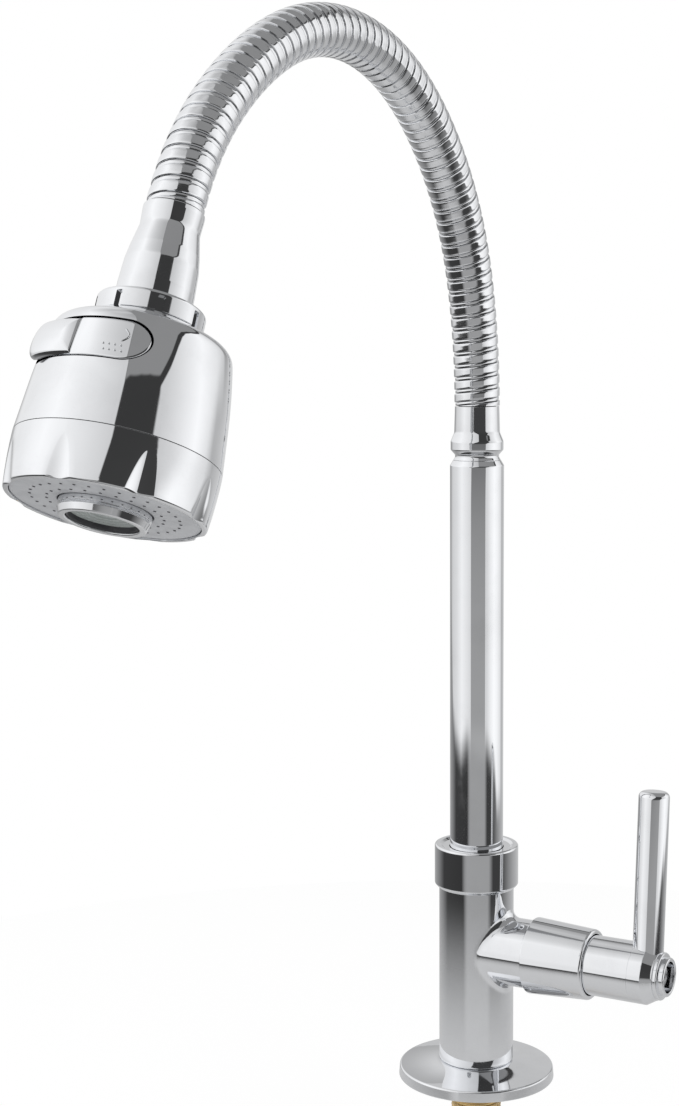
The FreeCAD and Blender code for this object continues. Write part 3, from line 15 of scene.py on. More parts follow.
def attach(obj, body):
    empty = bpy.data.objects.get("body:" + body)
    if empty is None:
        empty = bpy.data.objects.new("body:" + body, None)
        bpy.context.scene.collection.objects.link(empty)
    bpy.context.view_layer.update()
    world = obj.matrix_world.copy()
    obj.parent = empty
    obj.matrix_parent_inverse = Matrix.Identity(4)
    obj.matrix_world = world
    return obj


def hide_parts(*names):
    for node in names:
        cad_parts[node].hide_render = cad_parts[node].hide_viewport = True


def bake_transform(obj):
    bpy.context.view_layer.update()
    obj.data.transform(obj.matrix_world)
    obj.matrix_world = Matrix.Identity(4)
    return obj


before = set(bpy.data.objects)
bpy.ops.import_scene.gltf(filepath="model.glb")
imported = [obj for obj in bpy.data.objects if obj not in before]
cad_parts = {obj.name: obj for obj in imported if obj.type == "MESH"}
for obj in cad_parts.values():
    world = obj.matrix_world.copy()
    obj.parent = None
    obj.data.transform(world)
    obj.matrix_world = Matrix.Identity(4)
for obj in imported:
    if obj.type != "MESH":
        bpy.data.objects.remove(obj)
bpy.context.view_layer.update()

bl_info = {
    "name": "Spring spout tap",
    "version": (1, 0, 0),
    "blender": (4, 5, 0),
    "location": "3D View > Sidebar > Tap",
    "description": "Builds the visible pieces of a spring spout kitchen tap round its CAD frame",
    "category": "Object",
}

MM = 0.001

# Gooseneck: radius and angle of each bend, from the ferrule up and over to the head
BENDS = ((187.7, 15.5), (119.9, 39.2), (100.2, 59.1), (136.8, 18.8), (99.7, 24.1))
FERRULE_TOP = 281.0
STRIP_END = 0.3
NECK_LENGTH = sum(radius * math.radians(angle) for radius, angle in BENDS)
NECK_TURN = sum(angle for _, angle in BENDS)
# Column and branch
COLUMN_RADIUS = 15.5
STUB_RADIUS = 14.0
BRANCH_HEIGHT = 55.5
LEVER_LEAN = math.radians(4.4)
# Head: stations are lengths along its axis from the gooseneck's end
ROCKER_STATION = 53.4
ROCKER_PIVOT = 23.2
ROCKER_HALF_WIDTH = 21.15
ROCKER_HALF_HEIGHT = 6.25
ROCKER_TURN = math.radians(5.5)
BEZEL_BORE = 29.3
BEZEL_RIM = 97.2
FLUTE_TURN = math.radians(90 - 7.8)
# Camera, from the photograph's frame
FRAME_HEIGHT = 1106
FOCAL_PIXELS = 1948.3
CAMERA_PLACE = (0.3476, -0.7146, 0.3116)
CAMERA_PITCH = math.radians(6.496)
CAMERA_ROLL = math.radians(-0.377)


def neck_frame(station):
    """Point and outward direction of the gooseneck's axis at a length along it, in millimetres."""
    reach, height, tilt = 0.0, FERRULE_TOP + min(station, 0.0), 0.0
    left = max(station, 0.0)
    for index, (radius, angle) in enumerate(BENDS):
        span = radius * math.radians(angle)
        part = left if index == len(BENDS) - 1 else min(left, span)
        turn = part / radius
        reach += radius * (math.cos(tilt) - math.cos(tilt + turn))
        height += radius * (math.sin(tilt + turn) - math.sin(tilt))
        tilt += turn
        left -= part
    return Vector((0, -reach, height)), Vector((0, math.cos(tilt), math.sin(tilt)))


HEAD = (Matrix.Translation(neck_frame(NECK_LENGTH)[0] * MM)
        @ Matrix.Rotation(math.radians(NECK_TURN), 4, "X"))
FRONT = HEAD @ Matrix.Rotation(ROCKER_TURN, 4, "Z")
ALONG_X = Matrix.Rotation(math.radians(90), 4, "Y")
AT_BRANCH = Matrix.Translation((0, 0, BRANCH_HEIGHT * MM))
BRANCH = AT_BRANCH @ ALONG_X
HANDLE = AT_BRANCH @ Matrix.Rotation(-LEVER_LEAN, 4, "X") @ ALONG_X


class TapShape(bpy.types.PropertyGroup):
    """Sizes that change how the tap looks."""

    strip_turns: IntProperty(name="Strip turns", description="Turns of the spiral strip",
                             default=62, min=20)
    strip_groove: FloatProperty(name="Strip groove", description="Groove between two turns",
                                default=0.0016, unit="LENGTH")
    strip_radius: FloatProperty(name="Strip radius", description="Outside of the spiral strip",
                                default=0.0092, unit="LENGTH")
    flutes: IntProperty(name="Flutes", description="Finger flutes round the bezel", default=8)
    flute_depth: FloatProperty(name="Flute depth", description="Depth of a flute at the rim",
                               default=0.0014, unit="LENGTH")
    flute_width: FloatProperty(name="Flute width", description="Width of a flute at the rim",
                               default=0.0086, unit="LENGTH")
    rocker_tilt: FloatProperty(name="Rocker tilt", description="How far the raised half stands out",
                               default=math.radians(12), subtype="ANGLE")
    cast_fillet: FloatProperty(name="Cast fillet", description="Fillet between column and branch",
                               default=0.0036, unit="LENGTH")
    nozzle_radius: FloatProperty(name="Nozzle radius", description="Nozzles of the spray face",
                                 default=0.00045, unit="LENGTH")


class TapFinish(bpy.types.PropertyGroup):
    """Colours and gloss of the tap."""

    chrome: FloatVectorProperty(name="Chrome", description="Colour of the chrome plating",
                                default=(0.86, 0.87, 0.89), size=3, subtype="COLOR")
    chrome_gloss: FloatProperty(name="Chrome roughness", description="Roughness of polished chrome",
                                default=0.025, subtype="FACTOR")
    strip_gloss: FloatProperty(name="Strip roughness", description="Roughness of the spiral strip",
                               default=0.07, subtype="FACTOR")
    face_grey: FloatVectorProperty(name="Spray face", description="Colour of the spray face",
                                   default=(0.54, 0.55, 0.57), size=3, subtype="COLOR")
    floor: FloatVectorProperty(name="Floor", description="Colour of the floor",
                               default=(0.86, 0.86, 0.86), size=3, subtype="COLOR")


# Meshes

def soften(corners, step=math.radians(9)):
    """Rounds the corners of an outline. A corner is (across, up) or (across, up, radius)."""
    count = len(corners)
    points = []
    for index, corner in enumerate(corners):
        here = Vector(corner[:2])
        radius = corner[2] if len(corner) > 2 else 0.0
        if not radius:
            points.append(here)
            continue
        before = (Vector(corners[index - 1][:2]) - here).normalized()
        after = (Vector(corners[(index + 1) % count][:2]) - here).normalized()
        inside = before.angle(after)
        reach = radius / math.tan(inside / 2)
        start = here + before * reach
        centre = here + (before + after).normalized() * (radius / math.sin(inside / 2))
        arm = start - centre
        sweep = math.pi - inside
        turn = -sweep if before.cross(after) > 0 else sweep
        steps = max(2, round(sweep / step))
        points += [centre + Matrix.Rotation(turn * k / steps, 2) @ arm for k in range(steps + 1)]
    return points


def hold(points):
    """Adds a point beside each short run, so that the long run next to it shades straight."""
    count = len(points)
    held = []
    for index, here in enumerate(points):
        held.append(here)
        ahead = points[(index + 1) % count]
        length = (ahead - here).length
        before = (here - points[index - 1]).length
        after = (points[(index + 2) % count] - ahead).length
        if length > 4 * before:
            held.append(here.lerp(ahead, before / length))
        if length > 4 * after:
            held.append(ahead.lerp(here, after / length))
    return held


def spin(mesh, geometry, turns, steps, pitch=0.0, merge=False):
    """Spins vertices and edges about Z, with so many steps and so much rise to a turn."""
    bmesh.ops.spin(mesh, geom=geometry, cent=(0, 0, 0), axis=(0, 0, 1),
                   dvec=(0, 0, pitch * MM / steps), angle=math.tau * turns, steps=turns * steps,
                   use_merge=merge)


def outward(mesh):
    """Turns every face of a bmesh outwards."""
    bmesh.ops.recalc_face_normals(mesh, faces=mesh.faces)
    return mesh


def lathe(corners, steps=128):
    """Spins an outline of (radius, height, rounding) corners about Z."""
    points = hold(soften(corners))
    mesh = bmesh.new()
    verts = [mesh.verts.new((point.x * MM, 0, point.y * MM)) for point in points]
    runs = zip(verts, verts[1:] + verts[:1])
    edges = [mesh.edges.new(run) for run in runs if max(run[0].co.x, run[1].co.x) > 1e-9]
    spin(mesh, verts + edges, 1, steps, merge=True)
    bmesh.ops.remove_doubles(mesh, verts=mesh.verts, dist=1e-7)
    return outward(mesh)


def turn_mesh(mesh, angle, centre=(0, 0, 0)):
    """Turns a bmesh about an upright axis."""
    bmesh.ops.rotate(mesh, verts=mesh.verts, cent=centre, matrix=Matrix.Rotation(angle, 3, "Z"))


def open_edges(mesh):
    """Edges of a bmesh that have a single face."""
    return [edge for edge in mesh.edges if edge.is_boundary]


def only(kind, items):
    """The vertices or edges among what a bmesh operator gives back."""
    return [item for item in items if isinstance(item, kind)]


def grow(mesh, rim):
    """Extrudes a rim of edges. Gives the new vertices and the new rim."""
    grown = bmesh.ops.extrude_edge_only(mesh, edges=rim)["geom"]
    return only(BMVert, grown), [edge for edge in only(BMEdge, grown) if edge.is_boundary]


def cap(mesh):
    """Closes every hole of a bmesh with a face."""
    bmesh.ops.holes_fill(mesh, edges=open_edges(mesh), sides=0)


def slice_by(mesh, point, away, dist=1e-7, clear=True):
    """Cuts a bmesh by a plane, and clears what lies past it."""
    bmesh.ops.bisect_plane(mesh, geom=mesh.verts[:] + mesh.edges[:] + mesh.faces[:], dist=dist,
                           plane_co=Vector(point) * MM, plane_no=away, clear_outer=clear)


def ring_of(mesh, outline, up=0.0):
    """A closed loop of edges in the XZ plane, to be spun about Z."""
    verts = [mesh.verts.new((radius * MM, 0, (height + up) * MM)) for radius, height in outline]
    return verts + [mesh.edges.new(pair) for pair in zip(verts, verts[1:] + verts[:1])]


def prism(outline, low, high):
    """A block along Y from an outline in X and Z."""
    mesh = bmesh.new()
    verts = [mesh.verts.new((point.x * MM, low * MM, point.y * MM)) for point in outline]
    face = mesh.faces.new(verts)
    grown = bmesh.ops.extrude_face_region(mesh, geom=[face])["geom"]
    bmesh.ops.translate(mesh, verts=only(BMVert, grown), vec=(0, (high - low) * MM, 0))
    return outward(mesh)


def linked(name, data):
    """A new object of the scene."""
    thing = bpy.data.objects.new(name, data)
    bpy.context.scene.collection.objects.link(thing)
    return thing


def as_object(name, mesh):
    """An object that takes over a bmesh."""
    data = bpy.data.meshes.new(name)
    mesh.to_mesh(data)
    mesh.free()
    return linked(name, data)


def evaluated(thing):
    """The mesh of an object with its modifiers, as a bmesh. The object is removed."""
    graph = bpy.context.evaluated_depsgraph_get()
    mesh = bmesh.new()
    mesh.from_mesh(bpy.data.meshes.new_from_object(thing.evaluated_get(graph)))
    bpy.data.objects.remove(thing)
    return mesh


def boolean(mesh, tool, operation="DIFFERENCE"):
    """Cuts one bmesh by another, or joins them."""
    base = as_object("base", mesh)
    cutter = as_object("cutter", tool)
    step = base.modifiers.new("cut", "BOOLEAN")
    step.operation = operation
    step.solver = "EXACT"
    step.object = cutter
    result = evaluated(base)
    bpy.data.objects.remove(cutter)
    return result


def add(mesh, other, keep=False):
    """Puts a second bmesh into the first."""
    data = bpy.data.meshes.new("part")
    other.to_mesh(data)
    if not keep:
        other.free()
    mesh.from_mesh(data)
    bpy.data.meshes.remove(data)
    return mesh


def piece(name, mesh, look, body, nodes=(), place=None, sharp=30, across=None):
    """Finishes a bmesh as a named piece that stands for its CAD nodes. It rides on a body, but a
    piece that reaches across to another body is only fixed where it stands.
    """
    if not mesh.faces:
        raise RuntimeError(name + " has no faces")
    if place is not None:
        bmesh.ops.transform(mesh, matrix=place, verts=mesh.verts)
    for face in mesh.faces:
        face.smooth = True
    for edge in mesh.edges:
        edge.smooth = edge.calc_face_angle(0) < math.radians(sharp)
    thing = as_object(name, mesh)
    thing.data.materials.append(FINISHES[look])
    if across:
        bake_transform(thing)
    else:
        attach(thing, body)
    if nodes:
        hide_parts(*nodes)


# Materials

def node_group(name, inputs, outputs):
    """An empty shader group with named number, colour and vector sockets."""
    kinds = {"number": "NodeSocketFloat", "colour": "NodeSocketColor", "vector": "NodeSocketVector"}
    group = bpy.data.node_groups.new(name, "ShaderNodeTree")
    for label, kind, default in inputs:
        socket = group.interface.new_socket(label, in_out="INPUT", socket_type=kinds[kind])
        if default is not None:
            socket.default_value = default
    for label, kind in outputs:
        group.interface.new_socket(label, in_out="OUTPUT", socket_type=kinds[kind])
    return group, group.nodes.new("NodeGroupInput"), group.nodes.new("NodeGroupOutput")


def wire(tree, *runs):
    """Joins nodes. A run is (node, output, node, input)."""
    for source, output, target, socket in runs:
        tree.links.new(source.outputs[output], target.inputs[socket])


def shader_node(tree, kind, **values):
    """A new shader node. Its inputs get the values, from_min for From Min."""
    node = tree.nodes.new("ShaderNode" + kind)
    for label, value in values.items():
        node.inputs[label.replace("_", " ").title()].default_value = value
    return node


def handled_surface():
    """Group: faint cloudy marks of handling and cleaning, as roughness, tint and height."""
    group, start, end = node_group(
        "handled_surface",
        [("Colour", "colour", (0.8, 0.8, 0.8, 1)), ("Dull", "colour", (0.7, 0.7, 0.7, 1)),
         ("Smooth", "number", 0.05), ("Rough", "number", 0.12), ("Scale", "number", 60.0)],
        [("Colour", "colour"), ("Roughness", "number"), ("Height", "number")])
    place = shader_node(group, "TexCoord")
    cloud = shader_node(group, "TexNoise", detail=5, roughness=0.6)
    fine = shader_node(group, "TexNoise", scale=900, detail=2)
    shape = shader_node(group, "MapRange", from_min=0.42, from_max=0.72)
    shape.interpolation_type = "SMOOTHSTEP"
    gloss = shader_node(group, "MapRange")
    tint = shader_node(group, "Mix")
    tint.data_type = "RGBA"
    wire(group, (place, "Object", cloud, "Vector"), (place, "Object", fine, "Vector"),
         (start, "Scale", cloud, "Scale"), (cloud, "Fac", shape, "Value"),
         (shape, "Result", gloss, "Value"), (start, "Smooth", gloss, "To Min"),
         (start, "Rough", gloss, "To Max"), (shape, "Result", tint, "Factor"),
         (start, "Colour", tint, "A"), (start, "Dull", tint, "B"),
         (tint, "Result", end, "Colour"), (gloss, "Result", end, "Roughness"),
         (fine, "Fac", end, "Height"))
    return group


def turned_lines():
    """Group: fine rings across Z, as turning leaves them, as height."""
    group, start, end = node_group(
        "turned_lines", [("Spacing", "number", 3000.0), ("Waver", "number", 0.3)],
        [("Height", "number")])
    place = shader_node(group, "TexCoord")
    wave = shader_node(group, "TexWave", detail=2)
    wave.wave_type = "BANDS"
    wave.bands_direction = "Z"
    wire(group, (place, "Object", wave, "Vector"), (start, "Spacing", wave, "Scale"),
         (start, "Waver", wave, "Distortion"), (wave, "Fac", end, "Height"))
    return group


def finish(name, colour, dull, smooth, rough, scale, metallic=0.0, bump=0.0, lines=0.0):
    """A Principled material over the shared surface groups."""
    material = bpy.data.materials.new(name)
    material.use_nodes = True
    tree = material.node_tree
    shader = tree.nodes["Principled BSDF"]
    shader.inputs["Metallic"].default_value = metallic
    marks = shader_node(tree, "Group")
    marks.node_tree = GROUPS["handled"]
    for label, value in (("Colour", (*colour, 1)), ("Dull", (*dull, 1)), ("Smooth", smooth),
                         ("Rough", rough), ("Scale", scale)):
        marks.inputs[label].default_value = value
    wire(tree, (marks, "Colour", shader, "Base Color"), (marks, "Roughness", shader, "Roughness"))
    if bump or lines:
        relief = shader_node(tree, "Bump", strength=bump or lines, distance=0.1 * MM)
        source = marks
        if lines:
            source = shader_node(tree, "Group")
            source.node_tree = GROUPS["turned"]
        wire(tree, (source, "Height", relief, "Height"), (relief, "Normal", shader, "Normal"))
    return material


GROUPS = {}
FINISHES = {}


def make_finishes():
    """All the materials of the tap."""
    colours = bpy.context.scene.tap_finish
    GROUPS["handled"] = handled_surface()
    GROUPS["turned"] = turned_lines()
    chrome = tuple(colours.chrome)
    dull = tuple(part * 0.94 for part in chrome)
    gloss = colours.chrome_gloss
    strip = colours.strip_gloss
    face = tuple(colours.face_grey)
    FINISHES.update(
        chrome=finish("polished_chrome", chrome, dull, gloss, gloss + 0.05, 45, metallic=1.0),
        strip=finish("strip_chrome", chrome, dull, strip, strip + 0.08, 120, metallic=1.0,
                     bump=0.05),
        face=finish("spray_face_grey", face, tuple(part * 0.9 for part in face), 0.38, 0.5, 150,
                    bump=0.12),
        nozzle=finish("nozzle_rubber", (0.09, 0.09, 0.1), (0.06, 0.06, 0.065), 0.5, 0.7, 300,
                      bump=0.1),
        insert=finish("insert_plastic", (0.42, 0.45, 0.44), (0.34, 0.37, 0.36), 0.25, 0.4, 200,
                      bump=0.08),
        steel=finish("spun_steel", (0.6, 0.6, 0.61), (0.5, 0.5, 0.51), 0.2, 0.34, 150,
                     metallic=1.0, lines=0.1),
        brass=finish("machined_brass", (0.71, 0.52, 0.25), (0.6, 0.43, 0.2), 0.22, 0.36, 90,
                     metallic=1.0, lines=0.2),
        rubber=finish("seal_rubber", (0.035, 0.035, 0.037), (0.05, 0.05, 0.05), 0.6, 0.8, 200,
                      bump=0.3),
        ceramic=finish("disc_ceramic", (0.84, 0.83, 0.79), (0.8, 0.79, 0.74), 0.1, 0.2, 100),
        white=finish("white_plastic", (0.78, 0.78, 0.75), (0.72, 0.72, 0.69), 0.35, 0.5, 120,
                     bump=0.08),
        black=finish("black_plastic", (0.04, 0.04, 0.045), (0.055, 0.055, 0.06), 0.4, 0.55, 120,
                     bump=0.15),
    )


# Pieces on the deck

def deck_flange():
    """Round flange with its slightly hollow upper face."""
    mesh = lathe([(14.6, 0), (18.3, 0), (18.3, 2.6), (30.8, 2.6), (30.8, 0), (32.5, 0, 0.3),
                  (32.1, 4.42, 0.75), (30.9, 4.5), (28.6, 4.68), (26.0, 4.95), (23.5, 5.3),
                  (21.0, 5.76), (18.8, 6.24), (17.0, 6.68), (15.9, 6.94), (15.5, 7.0), (14.6, 7.0)],
                 160)
    piece("flange", mesh, "chrome", "tap_body", ["escutcheon"])


def threaded_shank():
    """Shank with a rolled thread down to its end, a relief groove and its bore."""
    mesh = lathe([(5.5, -60, 0.4), (9.3, -60, 0.3), (9.9, -58.9), (9.9, -44.6), (9.5, -44.2),
                  (9.5, -41.2), (9.9, -40.8), (9.9, 12), (10.4, 12), (10.4, 14), (5.5, 14)], 96)
    crest = bmesh.new()
    pitch, turns, steps, first = 1.81, 29, 40, -58.0
    relief_groove, unthreaded = (-44.4, -41.0), (-7.0, 20.0)
    ridge = [(9.7, -0.8), (10.43, -0.12), (10.43, 0.12), (9.7, 0.8)]
    spin(crest, ring_of(crest, ridge, first), turns, steps, pitch)
    for low, high in (relief_groove, unthreaded):
        crest = without_band(crest, low, high)
    bmesh.ops.holes_fill(crest, edges=crest.edges, sides=8)
    piece("threaded_shank", add(mesh, outward(crest)), "brass", "tap_body", ["inlet_shank"])


def without_band(mesh, low, high):
    """Removes what lies between two heights."""
    for height in (low, high):
        slice_by(mesh, (0, 0, height), (0, 0, 1), dist=1e-8, clear=False)
    gone = [face for face in mesh.faces if low * MM < face.calc_center_median().z < high * MM]
    bmesh.ops.delete(mesh, geom=gone, context="FACES")
    return mesh


def backnut():
    """Hexagon nut with chamfered corners."""
    corner = 17.32 * MM
    mesh = bmesh.new()
    bmesh.ops.create_cone(mesh, cap_ends=True, segments=6, radius1=corner, radius2=corner,
                          depth=8 * MM, matrix=Matrix.Translation((0, 0, -37 * MM)))
    chamfers = [(0, -41), (15.4, -41), (17.6, -39.7), (17.6, -34.3), (15.4, -33), (0, -33)]
    mesh = boolean(mesh, lathe(chamfers, 96), "INTERSECT")
    mesh = boolean(mesh, lathe([(0, -43), (10.55, -43), (10.55, -30), (0, -30)], 64))
    piece("hexagon_nut", mesh, "brass", "tap_body", ["backnut"])


# Valve column

def column_distance(points, fillet):
    """Signed distance to column and branch stub with a rolling fillet between them, in metres."""
    x, y, z = points.T
    up = z - BRANCH_HEIGHT * MM
    around = np.hypot(x, y) + 1e-12
    across = np.hypot(y, up) + 1e-12
    column = around - COLUMN_RADIUS * MM
    stub = np.maximum(across - STUB_RADIUS * MM, -x)
    radius = fillet * (1 - np.clip(y * y / (around * across), 0, 1)) + 1e-9
    inner = np.hypot(np.maximum(radius - column, 0), np.maximum(radius - stub, 0))
    return np.maximum(radius, np.minimum(column, stub)) - inner


def valve_column():
    """Cast column and stub: an even mesh drawn onto the exact filleted form."""
    fillet = bpy.context.scene.tap_shape.cast_fillet
    mesh = bmesh.new()
    for radius, length, place in ((COLUMN_RADIUS, 90, Matrix.Translation((0, 0, 44 * MM))),
                                  (STUB_RADIUS, 32, BRANCH @ Matrix.Translation((0, 0, 16 * MM)))):
        bmesh.ops.create_cone(mesh, cap_ends=True, segments=96, radius1=radius * MM,
                              radius2=radius * MM, depth=length * MM, matrix=place)
    blank = as_object("blank", mesh)
    even = blank.modifiers.new("even", "REMESH")
    even.mode = "VOXEL"
    even.voxel_size = 0.0008
    mesh = evaluated(blank)
    points = np.array([vert.co[:] for vert in mesh.verts])
    step, passes = 1e-5, 8
    for _ in range(passes):
        distance = column_distance(points, fillet)
        slope = np.stack([(column_distance(points + step * axis, fillet) - distance) / step
                          for axis in np.eye(3)], axis=1)
        slope /= np.maximum(np.linalg.norm(slope, axis=1, keepdims=True), 1e-9)
        points -= slope * distance[:, None]
    for vert, point in zip(mesh.verts, points):
        vert.co = point
    foot, top, nose = (0, 0, 7.9), (0, 0, 81.4), (27.2, 0, 0)
    for spot, away in ((foot, (0, 0, -1)), (top, (0, 0, 1)), (nose, (1, 0, 0))):
        slice_by(mesh, spot, away)
    rim = [edge for edge in open_edges(mesh) if edge.verts[0].co.z < 8 * MM]
    for radius, height in ((15.2, 7.35), (14.7, 7.05), (14.5, 7.0), (14.5, 0.0)):
        verts, rim = grow(mesh, rim)
        for vert in verts:
            flat = Vector((vert.co.x, vert.co.y)).normalized() * radius * MM
            vert.co = (flat.x, flat.y, height * MM)
    cap(mesh)
    outward(mesh)
    piece("valve_column", mesh, "chrome", "tap_body", ["valve_body"], sharp=40)


def collar():
    """Collar nut with its rounded upper rim and the dish round the riser."""
    mesh = lathe([(14.6, 81.5), (16.1, 81.5, 0.5), (17.35, 82.9, 0.8), (17.35, 99.5, 0.9),
                  (15.2, 99.35, 0.7), (13.9, 98.5, 0.4), (11.35, 98.2), (11.35, 96.5),
                  (14.6, 96.5)])
    piece("collar", mesh, "chrome", "tap_body", ["collar_nut"])


def riser():
    """Straight tube with its chamfered rim, and the swaged ferrule that carries the gooseneck."""
    tube = lathe([(8.4, 72, 0.3), (11, 72, 0.4), (11, 257.0, 0.7), (9.75, 259.1, 0.2), (9.5, 259.1),
                  (9.5, 96.5), (8.4, 96.5)])
    piece("riser", tube, "chrome", "spout", ["riser_tube"])
    ferrule = lathe([(5.35, 249.1), (9.4, 249.1), (9.4, 259.2), (9.65, 259.2, 0.1),
                     (8.95, 260.4, 0.7), (8.95, 261.3, 0.7), (10.75, 263.3, 1.0),
                     (10.75, 266.8, 2.2), (9.3, 270.3, 2.6), (9.0, 281, 0.1), (7.65, 281),
                     (7.65, 273), (6.55, 273), (6.55, 270), (5.35, 270)])
    piece("ferrule", ferrule, "chrome", "spout", ["lower_ferrule"])


# Branch

def branch():
    """Conical sleeve, hub with its stepped end, and the round lever."""
    sleeve = lathe([(13.2, 26.6), (15.45, 26.6, 0.2), (15.6, 27.0, 0.2), (14.2, 52.7, 1.1),
                    (12.45, 52.7, 0.3), (12.45, 38.1), (13.2, 38.1)])
    piece("sleeve", sleeve, "chrome", "tap_body", ["branch_sleeve"], BRANCH)
    hub = lathe([(7.35, 44.5), (12.1, 44.5, 0.3), (12.1, 71.3), (11.98, 71.4), (11.98, 71.6),
                 (12.1, 71.7), (12.1, 77.0, 0.5), (9.9, 80.6, 0.4), (9.75, 81.3, 0.4),
                 (8.3, 81.5, 0.2), (8.1, 82.2, 0.3), (7.8, 82.6), (7.8, 85.3, 0.7),
                 (6.2, 85.3, 0.45), (6.2, 80.3), (2.1, 80.3), (2.1, 62.1), (5.06, 62.1),
                 (5.06, 50.5), (7.35, 50.5)])
    ring = lathe([(7.6, 81.2), (9.5, 81.2, 0.4), (9.5, 82.9, 0.6), (7.6, 83.1, 0.1)])
    piece("hub", add(hub, ring), "chrome", "handle", ["handle_hub"], HANDLE)
    lever = lathe([(0, 4.1), (3.5, 4.1), (3.5, 9.0), (6.2, 9.0), (6.2, 73.6, 2.4), (0, 73.6)], 96)
    station = Matrix.Translation((75.8 * MM, 0, 0))
    upright = HANDLE @ Matrix.Rotation(math.radians(-90), 4, "Y") @ station
    piece("lever_rod", lever, "chrome", "handle", ["lever"], upright)


# Gooseneck

def along_neck(mesh):
    """Bends a straight mesh, drawn along Z from zero, onto the gooseneck's axis."""
    for vert in mesh.verts:
        point, away = neck_frame(vert.co.z / MM)
        vert.co = (vert.co.x, *(point * MM + away * vert.co.y).yz)
    return outward(mesh)


def spiral(section, low, high, turns, steps=44):
    """One unbroken strip wound from low to high, cut square at both ends."""
    pitch = (high - low) / turns
    mesh = bmesh.new()
    spare = 2
    spin(mesh, ring_of(mesh, section, low - pitch), turns + spare, steps, pitch)
    for height, away in ((low, -1), (high, 1)):
        slice_by(mesh, (0, 0, height), (0, 0, away))
    cap(mesh)
    return mesh


def gooseneck():
    """Spiral strip with its crowned back, the narrow hook in its groove, the liner and the hose."""
    shape = bpy.context.scene.tap_shape
    turns = shape.strip_turns
    low, high = STRIP_END, NECK_LENGTH - STRIP_END
    pitch = (high - low) / turns
    groove = shape.strip_groove / MM
    half = (pitch - groove) / 2
    outer = shape.strip_radius / MM
    edge = [(outer - 0.55, half), (outer - 0.27, half - 0.05), (outer - 0.1, half - 0.18),
            (outer - 0.03, half - 0.38)]
    back = [(outer, (half - 0.6) * share) for share in (1, 0.5, 0, -0.5, -1)]
    mirrored = [(radius, -up) for radius, up in reversed(edge)]
    under, hook_under = 8.2, 7.7
    section = [(under, half)] + edge + back + mirrored + [(under, -half)]
    strip = along_neck(spiral(section, low, high, turns))
    piece("strip", strip, "strip", "spout", ["gooseneck_strip"], across="head", sharp=24)
    middle, reach, wide = pitch / 2, outer - 0.38, groove / 2 - 0.12
    bend = [(hook_under, -wide), (reach - 0.3, -wide), (reach - 0.08, 0.12 - wide),
            (reach, 0.35 - wide)]
    hook = [(radius, middle + up) for radius, up in bend]
    hook += [(radius, middle - up) for radius, up in reversed(bend)]
    inner = along_neck(spiral(hook, low, high, turns, 32))
    piece("strip_hook", inner, "strip", "spout", across="head", sharp=24)
    for name, node, radius, bore, end, steps, look, slot in (
            ("liner", "gooseneck_liner", 7.55, 6.65, 7.4, 48, "black", "black_plastic"),
            ("hose", "water_hose", 5.0, 3.4, 13.5, 32, "white", "white_plastic")):
        top, below, count = end + NECK_LENGTH, 7.9, 90
        rows = [top - (top + below) * index / count for index in range(count + 1)]
        walls = [(radius, row) for row in reversed(rows)] + [(bore, row) for row in rows]
        tube = lathe(walls, steps)
        piece(name, along_neck(tube), look, "spout", [node], across="head")


# Head

def shell_radius(station):
    """Outside radius of the head shell at a station: a cone that curves in at the top."""
    straight, radius, taper, curve = 66, 30.68, 0.087, 0.0026
    above = max(0.0, straight - station)
    return radius - taper * (straight - station) - curve * above * above


def bezel_radius(station):
    """Outside radius of the bezel at a station, before the flutes."""
    return 31.9 - 0.0035 * (station - 80) ** 2


def neck_union():
    """Bell-shaped sleeve and the notched union ring."""
    sleeve = lathe([(7.65, 0), (9.7, 0, 0.3), (9.7, 1.6, 0.6), (9.4, 6.5, 6), (10.9, 14.0, 8),
                    (11.6, 18.5, 8), (12.0, 26.5, 3), (12, 33), (5, 33), (5, 25.6), (6.65, 25.6),
                    (6.65, 7.5), (7.65, 7.5)])
    piece("bell_sleeve", sleeve, "chrome", "head", ["neck_sleeve"], HEAD)
    ring = lathe([(12.1, 31.9, 0.2), (16.9, 31.9, 1.1), (16.9, 38.4, 0.3), (13.6, 38.4),
                  (13.6, 33.2), (12.1, 33.2)], 160)
    notches, count = bmesh.new(), 8
    for index in range(count):
        notch = soften([(-1.2, 33.4, 0.5), (1.2, 33.4, 0.5), (1.2, 39.5), (-1.2, 39.5)])
        block = prism(notch, 15.7, 18.5)
        turn_mesh(block, math.tau * index / count)
        notches = add(notches, block)
    piece("union_ring", boolean(ring, notches), "chrome", "head", ["grip_ring"], HEAD)


def window():
    """Long rounded outline of the shell's opening for the rocker."""
    across, half = 21.9, 6.7
    low, high = ROCKER_STATION - half, ROCKER_STATION + half
    corners = [(-across, low), (across, low), (across, high), (-across, high)]
    return soften([(*corner, half - 0.001) for corner in corners], step=math.radians(5))


def head_shell():
    """Upper shell of the head with the rocker's window."""
    wall = [(shell_radius(station), station) for station in np.arange(46.4, 67, 1.4)]
    seam, long_edge = 79.88, 0.02
    mesh = lathe([(13.5, 38.5), (16.8, 38.5, 0.6), (27.3, 43.4, 4.6), *wall,
                  (shell_radius(seam), seam, 0.1), (29.3, seam), (25.4, 45.4, 4.6), (16.2, 40.6),
                  (13.5, 40.6)], 192)
    inside = [edge for edge in mesh.edges if edge.calc_length() > long_edge]
    bmesh.ops.subdivide_edges(mesh, edges=inside, cuts=15, use_grid_fill=True)
    mesh = boolean(mesh, prism(window(), 10, 40))
    piece("shell", mesh, "chrome", "head", ["head_shell"], FRONT)


